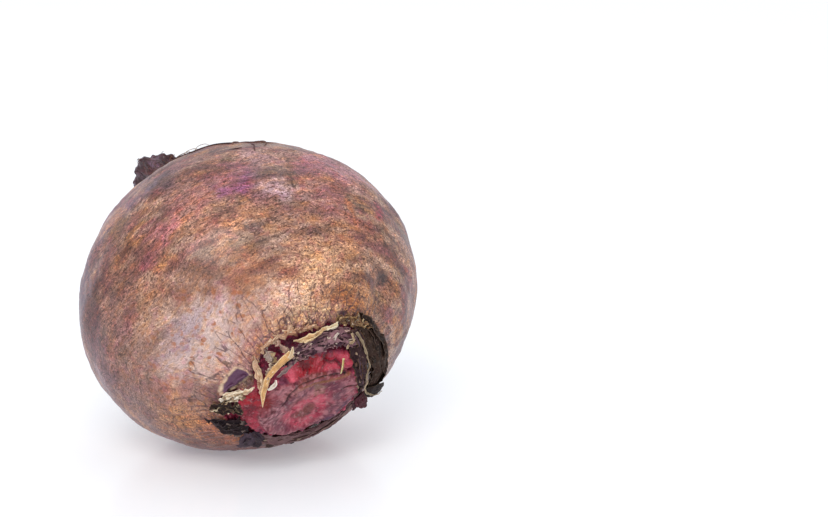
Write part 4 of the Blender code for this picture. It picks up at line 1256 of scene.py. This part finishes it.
# Torn papery skin at the crown's upper edge
skinClusters = {
    "longStrip": {
        "spine": [(-10.7, 0.3, 4.55, 0.06, 0), (-10.8, 1.6, 4.5, 0.3, 4), (-11.0, 3.8, 4.4, 0.6, 6),
                  (-10.7, 6.2, 4.3, 0.72, 10), (-10.2, 8.4, 3.95, 0.85, 12), (-9.0, 10.5, 3.8, 0.95, 12),
                  (-6.7, 13.0, 3.75, 1.05, 8), (-4.8, 14.9, 3.8, 1.05, 0)],
        "tints": ["#d6a468"],
        "look": {"thick": 0.22, "crumple": 0.2, "furrow": 0.2, "furrowSize": 0.6, "edge": "#efd3a8",
                 "ragged": 0.08, "tear": 0.1, "cup": -0.15},
    },
    # A brown sheet beside the long strip's left side: a painted shadow of the strip
    "stripShadow": {
        "spine": [(-10.9, 4.0, 4.2, 0.25, 20), (-10.9, 7.2, 4.0, 0.45, 24), (-9.9, 10.0, 3.8, 0.5, 24),
                  (-7.9, 12.4, 3.6, 0.4, 16)],
        "tints": ["#7d5630"],
        "look": {"thick": 0.22, "crumple": 0.25, "edge": "#a87a48", "ragged": 0.15, "tear": 0.2},
    },
    "stripTop": {
        "spine": [(-5.6, 13.6, 3.9, 0.4, 0), (-4.9, 15.2, 3.9, 0.4, 0), (-4.6, 16.6, 3.5, 0.2, 0)],
        "tints": ["#c9ad88"],
        "look": {"thick": 0.22, "crumple": 0.35, "edge": "#e8d8b8", "ragged": 0.25, "tear": 0.3},
    },
    "crossStrip": {
        "spine": [(-4.2, 17.2, 2.8, 0.25, 0), (-1.9, 17.7, 3.2, 0.6, 10), (0.2, 18.1, 3.3, 0.62, 14),
                  (2.4, 18.7, 3.0, 0.5, 10), (5.0, 19.3, 2.4, 0.3, 0)],
        "tints": ["#cfa878", "#a8804f"],
        "look": {"thick": 0.22, "crumple": 0.8, "crumpleSize": 1.3, "edge": "#e9cfa4", "ragged": 0.35,
                 "tear": 0.5},
        "layers": 2,
        "pile": 0.35,
    },
    "rightStrip": {
        "spine": [(3.9, 19.0, 2.3, 0.25, 0), (5.5, 19.1, 2.6, 0.5, 0), (7.9, 19.1, 2.5, 0.65, 0)],
        "tints": ["#e6d2a8", "#f0e4c6"],
        "look": {"thick": 0.22, "crumple": 0.6, "crumpleSize": 1.3, "edge": "#f2e6ca", "ragged": 0.35,
                 "tear": 0.4},
        "layers": 1,
        "pile": 0.3,
    },
    "lipPeel": {
        "spine": [(-11.4, 13.6, 0.9, 0.3, 0), (-9.2, 16.2, 1.0, 0.4, 0), (-7.0, 17.8, 1.0, 0.35, 0),
                  (-4.0, 18.6, 1.2, 0.45, 0), (-0.8, 18.9, 1.2, 0.4, 0), (2.6, 19.3, 1.2, 0.4, 0)],
        "tints": ["#c9a080"],
        "look": {"crumple": 0.35, "crumpleSize": 1.6, "ragged": 0.9, "raggedSize": 1.6, "gap": 0.02},
        "base": False,
        "pile": 0.5,
        "scraps": 30,
        "scrapTints": ["#d8bc9e", "#9a6c56", "#c8a084", "#c49c7e", "#6c4238", "#b88a6c"],
        "scrapLength": 3.4,
        "scrapWidth": (0.2, 0.6),
        "scrapTurn": 0.3,
    },
    "whiteStreak": {
        "spine": [(4.5, 15.5, 3.5, 0.3, 0), (5.8, 16.5, 3.6, 0.38, 0), (6.9, 17.5, 3.5, 0.35, 0),
                  (8.0, 17.9, 3.1, 0.2, 0)],
        "tints": ["#b5a59c"],
        "look": {"thick": 0.2, "crumple": 0.5, "edge": "#ddd0c4", "ragged": 0.3},
    },
    "foldRuffle": {
        "spine": [(7.6, 19.8, 1.4, 0.6, 0), (10.4, 19.6, 1.8, 0.8, 0), (13.2, 18.6, 2.4, 0.8, 0),
                  (16.0, 16.9, 2.6, 0.6, 0), (18.4, 15.0, 2.6, 0.35, 0)],
        "tints": ["#5e4430", "#7c5836", "#3e2c22"],
        "look": {"thick": 0.25, "crumple": 1.2, "crumpleSize": 1.2, "edge": "#a07c50", "ragged": 0.9,
                 "tear": 0.5},
        "layers": 2,
        "pile": 0.4,
        "scraps": 14,
        "scrapTints": ["#b4946a", "#7c5836", "#4e3628", "#c4ac84", "#34241e"],
        "scrapLength": 1.5,
        "scrapTurn": 1.0,
    },
    "membrane": {
        "spine": [(-12.9, 12.2, 0.9, 0.3, 0), (-12.5, 10.4, 1.2, 0.5, 0), (-12.0, 8.8, 1.8, 0.65, 0),
                  (-11.6, 7.2, 2.8, 0.7, 0), (-11.4, 5.6, 3.6, 0.6, 0), (-11.2, 4.0, 4.2, 0.4, 0)],
        "tints": ["#c49c80", "#e0c4a6", "#8e6450"],
        "look": {"thick": 0.3, "crumple": 0.5, "crumpleSize": 1.3, "furrow": 0.2, "furrowSize": 0.6,
                 "edge": "#dabb98", "ragged": 0.5, "tear": 0.3},
        "layers": 3,
        "pile": 0.35,
        "scraps": 8,
        "scrapTints": ["#e0c4a4", "#8a5e48", "#c49c7c"],
    },
    "scarWeb": {
        "spine": [(-18.8, 0.2, 0.9, 0.4, 0), (-17.4, 1.0, 1.2, 0.7, 0), (-15.8, 1.8, 1.5, 0.9, 0),
                  (-14.3, 2.8, 1.9, 0.9, 0), (-13.2, 4.0, 2.4, 0.6, 0), (-12.7, 5.2, 2.6, 0.3, 0)],
        "tints": ["#d3b795", "#c2a07a"],
        "look": {"thick": 0.25, "crumple": 0.7, "edge": "#efe2cb", "ragged": 0.3, "tear": 0.4},
        "layers": 3,
        "pile": 0.4,
    },
    "lowWeb": {
        "spine": [(-19.0, -2.2, 0.9, 0.8, 0), (-17.4, -0.6, 1.1, 1.0, 0), (-15.8, 0.6, 1.3, 0.8, 0),
                  (-14.4, 1.4, 1.8, 0.4, 0)],
        "tints": ["#8d7a63", "#a8927a"],
        "look": {"thick": 0.22, "crumple": 0.9, "edge": "#c9b697", "ragged": 0.4, "tear": 0.5},
        "layers": 2,
        "pile": 0.4,
        "scraps": 20,
        "scrapTints": ["#dccdb4", "#b89c78", "#6b5848", "#efe6d6", "#94806a"],
        "scrapLength": 1.3,
    },
    "greyWeb": {
        "spine": [(-10.6, 14.4, 0.9, 0.5, 0), (-9.5, 12.8, 1.5, 0.6, 0), (-9.1, 11.2, 2.2, 0.5, 0),
                  (-9.5, 9.7, 3.0, 0.4, 0), (-10.3, 8.0, 3.9, 0.25, 0)],
        "tints": ["#96857e", "#b09c8a"],
        "look": {"thick": 0.2, "crumple": 1.1, "crumpleSize": 1.1, "edge": "#c2ad98", "ragged": 1.1,
                 "raggedSize": 1.0, "tear": 0.4},
        "layers": 2,
        "pile": 0.4,
        "scraps": 9,
        "scrapTints": ["#b39c88", "#7a5c52", "#96857e", "#5c3a3c"],
        "scrapTurn": 1.2,
    },
    "holeWeb": {
        "spine": [(-9.6, 13.6, 1.2, 0.5, 0), (-8.5, 12.4, 1.6, 0.7, 0), (-7.6, 11.6, 2.4, 0.6, 0),
                  (-7.2, 10.8, 3.2, 0.4, 0)],
        "tints": ["#a8906c"],
        "look": {"thick": 0.2, "crumple": 1.0, "crumpleSize": 1.1, "edge": "#cdb891", "ragged": 1.1,
                 "raggedSize": 0.9, "tear": 0.4},
    },
    "upperWeb": {
        "spine": [(-8.2, 16.6, 0.9, 0.5, 0), (-7.0, 15.8, 1.5, 0.55, 0), (-6.0, 15.0, 2.4, 0.5, 0),
                  (-5.4, 14.2, 3.3, 0.3, 0)],
        "tints": ["#a08074"],
        "look": {"thick": 0.2, "crumple": 1.0, "crumpleSize": 1.1, "edge": "#c8ac94", "ragged": 1.1,
                 "raggedSize": 0.9, "tear": 0.4},
        "scraps": 5,
        "scrapTints": ["#b08e80", "#6c4440", "#c8a890"],
        "scrapTurn": 1.2,
    },
    "whiteCurl": {
        "spine": [(-8.0, 7.8, 3.6, 0.2, 40), (-8.1, 6.8, 3.8, 0.4, 30), (-8.9, 5.7, 3.8, 0.45, 20),
                  (-9.8, 4.9, 3.8, 0.25, 0)],
        "tints": ["#d8cebf"],
        "look": {"thick": 0.22, "crumple": 0.3, "edge": "#f6f2e8", "ragged": 0.15, "tear": 0.1,
                 "grain": 0.2},
    },
    "yellowSliver": {
        "spine": [(9.5, 10.8, 3.2, 0.2, 0), (9.4, 8.6, 3.6, 0.32, 0), (9.1, 6.6, 3.5, 0.22, 0)],
        "tints": ["#a8984e"],
        "look": {"thick": 0.25, "crumple": 0.1, "edge": "#d3c588", "ragged": 0.1, "tear": 0.1,
                 "grain": 0.2},
    },
}


# Dried leaf tissue: near-black where it rotted and dried, olive-brown fibres, matt
leafFinish = {
    "rim": 0.18,
    "blotch": "#3c2624",
    "blotchShare": 0.45,
    "fleck": "#a48c78",
    "fleckShare": 0.2,
    "fibreDark": 0.72,
    "fibreLight": 1.22,
    "specular": 0.12,
    "roughness": 0.6,
}
# Papery outer skin: tan and fibrous like onion skin, with cream edges, satin
skinFinish = {
    "rim": 0.25,
    "blotch": "#85532c",
    "blotchShare": 0.5,
    "fleck": "#f3e6cc",
    "fleckShare": 0.5,
    "fibreDark": 0.7,
    "fibreLight": 1.25,
    "specular": 0.5,
    "roughness": 0.5,
}
stripGrains = {
    "fibre": {"on": "stripPlace", "size": 0.32, "stretch": (1, 0.14, 1), "detail": 2, "span": (0.30, 0.70)},
    "blotch": {"on": "stripPlace", "size": 1.6, "detail": 3, "span": (0.40, 0.66)},
    "fleck": {"size": 0.5, "detail": 1, "span": (0.62, 0.70)},
}


def makeLeafMaterial(name, finish):
    # Gives the eye fibres along each strip, a paler torn edge and scattered flecks
    material, tree, shader = startMaterial(name)
    s = readFields(tree, ["stripPlace", "axisPlace", "tintPlace", "edgePlace", "fromEdge"])
    addGrains(tree, stripGrains, s)
    base = addLayers(tree, s["tintPlace"], [
        (product(tree, s["blotch"], finish["blotchShare"]), finish["blotch"]),
        (remap(tree, s["fromEdge"], finish["rim"], 0.0), s["edgePlace"]),
        (product(tree, s["fleck"], finish["fleckShare"]), finish["fleck"]),
    ])
    shade = remap(tree, s["fibre"], start=finish["fibreDark"], end=finish["fibreLight"])
    base = addMath(tree, "MULTIPLY", base, shade, vector=True)
    tree.links.new(base, shader.inputs["Base Color"])
    addBump(tree, shader, s["fibre"], 0.7, 0.10)
    setShader(shader, {
        "Roughness": finish["roughness"],
        "IOR": 1.45,
        "Specular IOR Level": finish["specular"],
    })
    return material


def makeLeaves(name, clusters, material, node, under, seed):
    parts = []
    for number, cluster in enumerate(clusters.values()):
        parts += makeCluster(cluster, seed + number, under)
    places, faces, fields = joinParts(parts)
    piece = newPiece(name, places, faces, material, fields)
    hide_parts(node)
    print(name, len(parts), "strips,", len(faces), "faces")


def skinPoint(skin, mark, turn, lift):
    # A point over the finished skin, by mark, longitude in degrees and lift in mm
    marks, around = skin["marks"], skin["place"].shape[1]
    row = np.clip(np.interp(mark, marks, np.arange(len(marks))), 1, len(marks) - 2.001)
    column = (turn % 360) / 360 * around
    r, c = int(row), int(column)
    u, v = row - r, column - c
    corners = [
        ((1 - u) * (1 - v), r, c),
        (u * (1 - v), r + 1, c),
        ((1 - u) * v, r, c + 1),
        (u * v, r + 1, c + 1),
    ]
    place = sum(w * skin["place"][i, j % around] for w, i, j in corners)
    normal = sum(w * skin["normals"][i, j % around] for w, i, j in corners)
    return place + normal * lift


def makeTube(points, radii, tint, sides):
    # A thin root or hair through points in mm, as a closed tube
    dense = curveThrough(np.column_stack([points, radii]), 6)
    path, radius = dense[:, :3], dense[:, 3]
    onward = rowsUnit(np.gradient(path, axis=0))
    first = rowsUnit(np.cross(onward, (0.31, 0.52, 0.79)))
    second = np.cross(onward, first)
    angles = np.linspace(0, 2 * math.pi, sides, endpoint=False)
    ring = first[:, None] * np.cos(angles)[:, None] + second[:, None] * np.sin(angles)[:, None]
    places = (path[:, None] + ring * radius[:, None, None]).reshape(-1, 3)
    places = np.concatenate([places, path[:1], path[-1:]])
    number = np.arange(len(path) * sides).reshape(len(path), sides)
    after = np.roll(number, -1, axis=1)
    faces = np.stack([number[:-1], after[:-1], after[1:], number[1:]], -1).reshape(-1, 4)
    # The caps are triangles that name their middle point twice
    tip = len(places)
    caps = [(tip - 2, b, a, tip - 2) for a, b in zip(number[0], after[0])]
    caps += [(tip - 1, a, b, tip - 1) for a, b in zip(number[-1], after[-1])]
    fields = {"tintPlace": np.zeros((tip, 3)) + np.array(colour(tint)[:3])}
    return places, np.concatenate([faces, np.array(caps)]), fields


# Fine roots that still lie on the rind, and hairs of the tap root: lengths and radii in mm
rootletForm = {
    # start mark, start longitude, end mark, end longitude
    "sideRoots": [(22.3, 62, 17.8, 88), (21.8, 88, 18.6, 96), (22.6, 104, 19.2, 132), (21.6, 35, 18.9, 30),
                  (22.2, 150, 19.4, 172), (21.9, 214, 18.8, 236), (22.4, 262, 19.6, 281),
                  (21.7, 318, 18.7, 333)],
    "sideRadius": 0.33,
    "sideTints": ["#6e4a3e", "#7c5444", "#5a3c34"],
    "branches": 2,
    "branchRadii": [0.13, 0.11, 0.08, 0.04],
    "hairs": 80,
    "hairMarks": (21.3, 26.2),
    "hairLengths": (0.7, 2.2),
    "hairRadii": [0.09, 0.07, 0.055, 0.03],
    "hairTints": ["#6a4438", "#7a5040", "#4a302c", "#8a6048", "#3a2628"],
}
# Threads along the top of the root: lift, radius, colour and their marks and longitudes
looseThreads = [
    (0.15, 0.20, "#3f2a2b", [(19.6, 124), (19.5, 118), (19.4, 111), (19.35, 106), (19.2, 101), (19.1, 95),
                             (19.0, 89)]),
    (0.12, 0.14, "#5b3c36", [(19.1, 92), (18.9, 86), (18.8, 80), (18.75, 75)]),
    (0.14, 0.17, "#57302f", [(18.7, 87.5), (18.3, 88.5), (17.9, 90.5), (17.6, 91.5)]),
    (0.75, 0.09, "#a58f7c", [(19.45, 115), (19.7, 112), (19.6, 109), (19.4, 107)]),
    (0.95, 0.08, "#9c8573", [(19.4, 110), (19.65, 107), (19.5, 104), (19.3, 102)]),
    (0.5, 0.10, "#7b5d4e", [(19.5, 120), (19.75, 116), (19.7, 112), (19.5, 110)]),
    (0.12, 0.16, "#4b3031", [(18.2, 99), (18.1, 96), (18.15, 93.5)]),
]


def makeSideRoots(draw, skin):
    # Each side root sways over the rind, and finer branches leave it
    form = rootletForm
    steps = np.linspace(0, 1, 10)
    lifts = 0.16 - 0.7 * (steps == 1)
    tubes = []
    for number, (startMark, startTurn, endMark, endTurn) in enumerate(form["sideRoots"]):
        turns = startTurn + (endTurn - startTurn) * steps
        winding = 4 * np.sin(5.1 * steps + number) + 1.6 * np.sin(13 * steps + 2 * number)
        turns += winding * np.sin(math.pi * steps)
        marks = startMark + (endMark - startMark) * steps
        sway = draw.uniform(-0.9, 0.9, len(steps))
        points = [skinPoint(skin, *spot) for spot in zip(marks, turns + sway, lifts)]
        radii = form["sideRadius"] * (1 - 0.6 * steps) * draw.uniform(0.8, 1.15, len(steps))
        tubes.append(makeTube(points, radii, form["sideTints"][number % 3], 8))
        for branch in range(form["branches"]):
            at = draw.integers(2, 8)
            spread = draw.uniform(-5, 5)
            points = []
            for k in range(4):
                turn = turns[at] + spread * k / 2 + draw.uniform(-0.8, 0.8)
                points.append(skinPoint(skin, marks[at] - 0.35 * k, turn, 0.1 - 0.25 * (k == 3)))
            tubes.append(makeTube(points, form["branchRadii"], form["sideTints"][branch], 5))
    return tubes


def makeHairs(draw, skin):
    form = rootletForm
    tubes = []
    for hair in range(form["hairs"]):
        mark = draw.uniform(*form["hairMarks"])
        turn = draw.uniform(0, 360)
        length = draw.uniform(*form["hairLengths"])
        bend = draw.uniform(-9, 9, 2)
        points = []
        for k, lift in enumerate([-0.15, 0.30 * length, 0.42 * length, draw.uniform(0.1, 0.6) * length]):
            points.append(skinPoint(skin, mark - 0.12 * k * length, turn + bend[k % 2] * k / 2, lift))
        tint = form["hairTints"][draw.integers(len(form["hairTints"]))]
        tubes.append(makeTube(points, form["hairRadii"], tint, 4))
    return tubes


def makeThreads(skin):
    # Loops over the rind, whose two ends go into it
    tubes = []
    for lift, radius, tint, course in looseThreads:
        last = len(course) - 1
        points = [skinPoint(skin, *spot, -0.1 if k in (0, last) else lift) for k, spot in enumerate(course)]
        tubes.append(makeTube(points, [radius] * last + [0.4 * radius], tint, 6))
    return tubes


def makeRootlets(material, skin):
    draw = np.random.default_rng(7)
    tubes = makeSideRoots(draw, skin) + makeHairs(draw, skin) + makeThreads(skin)
    places, faces, fields = joinParts(tubes)
    faces = [face[:3] if face[0] == face[3] else face for face in faces]
    newPiece("rootlets", places, faces, material, fields)
    print("rootlets", len(tubes), "tubes")


def makeRootletMaterial():
    # Gives the eye dry brown threads of fine root, matt
    material, tree, shader = startMaterial("dryRootlet")
    s = readFields(tree, ["axisPlace", "tintPlace"])
    addGrains(tree, {"grain": {"size": 0.4, "detail": 2, "span": (0.3, 0.7)}}, s)
    shade = remap(tree, s["grain"], start=0.5, end=1.4)
    base = addMath(tree, "MULTIPLY", s["tintPlace"], shade, vector=True)
    tree.links.new(base, shader.inputs["Base Color"])
    setShader(shader, {"Roughness": 0.7})
    return material


# The studio: a pale glossy floor that glows faintly, which lightens the shadow under the root and lights it
# from below, a broad lamp over the left shoulder and a white sky, in mm and degrees. The globe's middle is
# at a pixel of the frame
studio = {
    "frameSize": (828, 517),
    "globeSpot": (247.5, 297.2),
    "elevation": 16,
    "distance": 750,
    "lens": 130.43,
    "sensor": 36,
    "sky": "#ffffff",
    "skyStrength": 0.72,
    "floor": "#eef3f7",
    "floorRoughness": 0.2,
    "floorGlow": "#f4f5ff",
    "floorGlowStrength": 0.25,
    "floorSink": 0.02,
    "floorHalf": 3000,
}
# Places and sizes in metres
lamps = {
    "broadLamp": {"place": (-0.15, -0.85, 0.85), "size": 0.6, "watts": 7.0, "tint": "#fffaf5"},
    "leftLamp": {"place": (-0.8, 0.95, 0.3), "size": 0.5, "watts": 0.9, "tint": "#c8c8ff"},
    "backLamp": {"place": (0.2, 0.6, 0.9), "size": 0.6, "watts": 0.9, "tint": "#f2f4ff"},
}


def makeCamera():
    view = studio
    elevation = math.radians(view["elevation"])
    right = Vector((1, 0, 0))
    up = Vector((0, math.sin(elevation), math.cos(elevation)))
    back = Vector((0, -math.cos(elevation), math.sin(elevation)))
    width, height = view["frameSize"]
    pixel = view["distance"] * view["sensor"] / view["lens"] / width
    aside = (width / 2 - view["globeSpot"][0]) * pixel
    above = (view["globeSpot"][1] - height / 2) * pixel
    data = bpy.data.cameras.new("camera")
    data.lens = view["lens"]
    data.sensor_width = view["sensor"]
    data.clip_start = 0.05
    camera = bpy.data.objects.new("camera", data)
    place = Vector(lie["centre"]) + right * aside + up * above + back * view["distance"]
    facing = Matrix((right, up, back)).transposed().to_4x4()
    camera.matrix_world = Matrix.Translation(place * mm) @ facing
    bpy.context.scene.collection.objects.link(camera)
    bpy.context.scene.camera = camera


def makeLights():
    scene = bpy.context.scene
    scene.view_settings.view_transform = "Standard"
    world = bpy.data.worlds.new("studio")
    world.use_nodes = True
    sky = world.node_tree.nodes["Background"]
    sky.inputs[0].default_value = colour(studio["sky"])
    sky.inputs[1].default_value = studio["skyStrength"]
    scene.world = world
    aim = Vector((0, 0, 0.04))
    for name, lamp in lamps.items():
        data = bpy.data.lights.new(name, "AREA")
        data.energy = lamp["watts"]
        data.size = lamp["size"]
        data.color = colour(lamp["tint"])[:3]
        light = bpy.data.objects.new(name, data)
        light.location = lamp["place"]
        light.rotation_euler = (aim - light.location).to_track_quat("-Z", "Y").to_euler()
        scene.collection.objects.link(light)


def makeFloor():
    shape = bmesh.new()
    bmesh.ops.create_grid(shape, x_segments=1, y_segments=1, size=studio["floorHalf"] * mm)
    mesh = bpy.data.meshes.new("floor")
    shape.to_mesh(mesh)
    shape.free()
    floor = bpy.data.objects.new("floor", mesh)
    floor.location.z = -studio["floorSink"] * mm
    bpy.context.scene.collection.objects.link(floor)
    material, _, shader = startMaterial("paleFloor")
    # The floor's glow is painted light: it lightens the shadow under the root
    setShader(shader, {
        "Base Color": colour(studio["floor"]),
        "Roughness": studio["floorRoughness"],
        "Emission Color": colour(studio["floorGlow"]),
        "Emission Strength": studio["floorGlowStrength"],
    })
    mesh.materials.append(material)


makeCamera()
makeLights()
makeFloor()
print("studio and camera")
root, skin = makeRoot(makeFleshMaterial(), makeRindMaterial())
print("root", len(root.data.polygons), "faces")
rootPoints = toRoot(np.array([v.co[:] for v in root.data.vertices]) / mm)
rootTree = BVHTree.FromPolygons(rootPoints.tolist(), [f.vertices[:] for f in root.data.polygons])
makeRootlets(makeRootletMaterial(), skin)
makeLeaves("driedLeafBases", leafClusters, makeLeafMaterial("driedLeaf", leafFinish),
           "leaf_base_collar", rootTree, 100)
makeLeaves("tornSkin", skinClusters, makeLeafMaterial("paperySkin", skinFinish),
           "papery_skin", rootTree, 200)
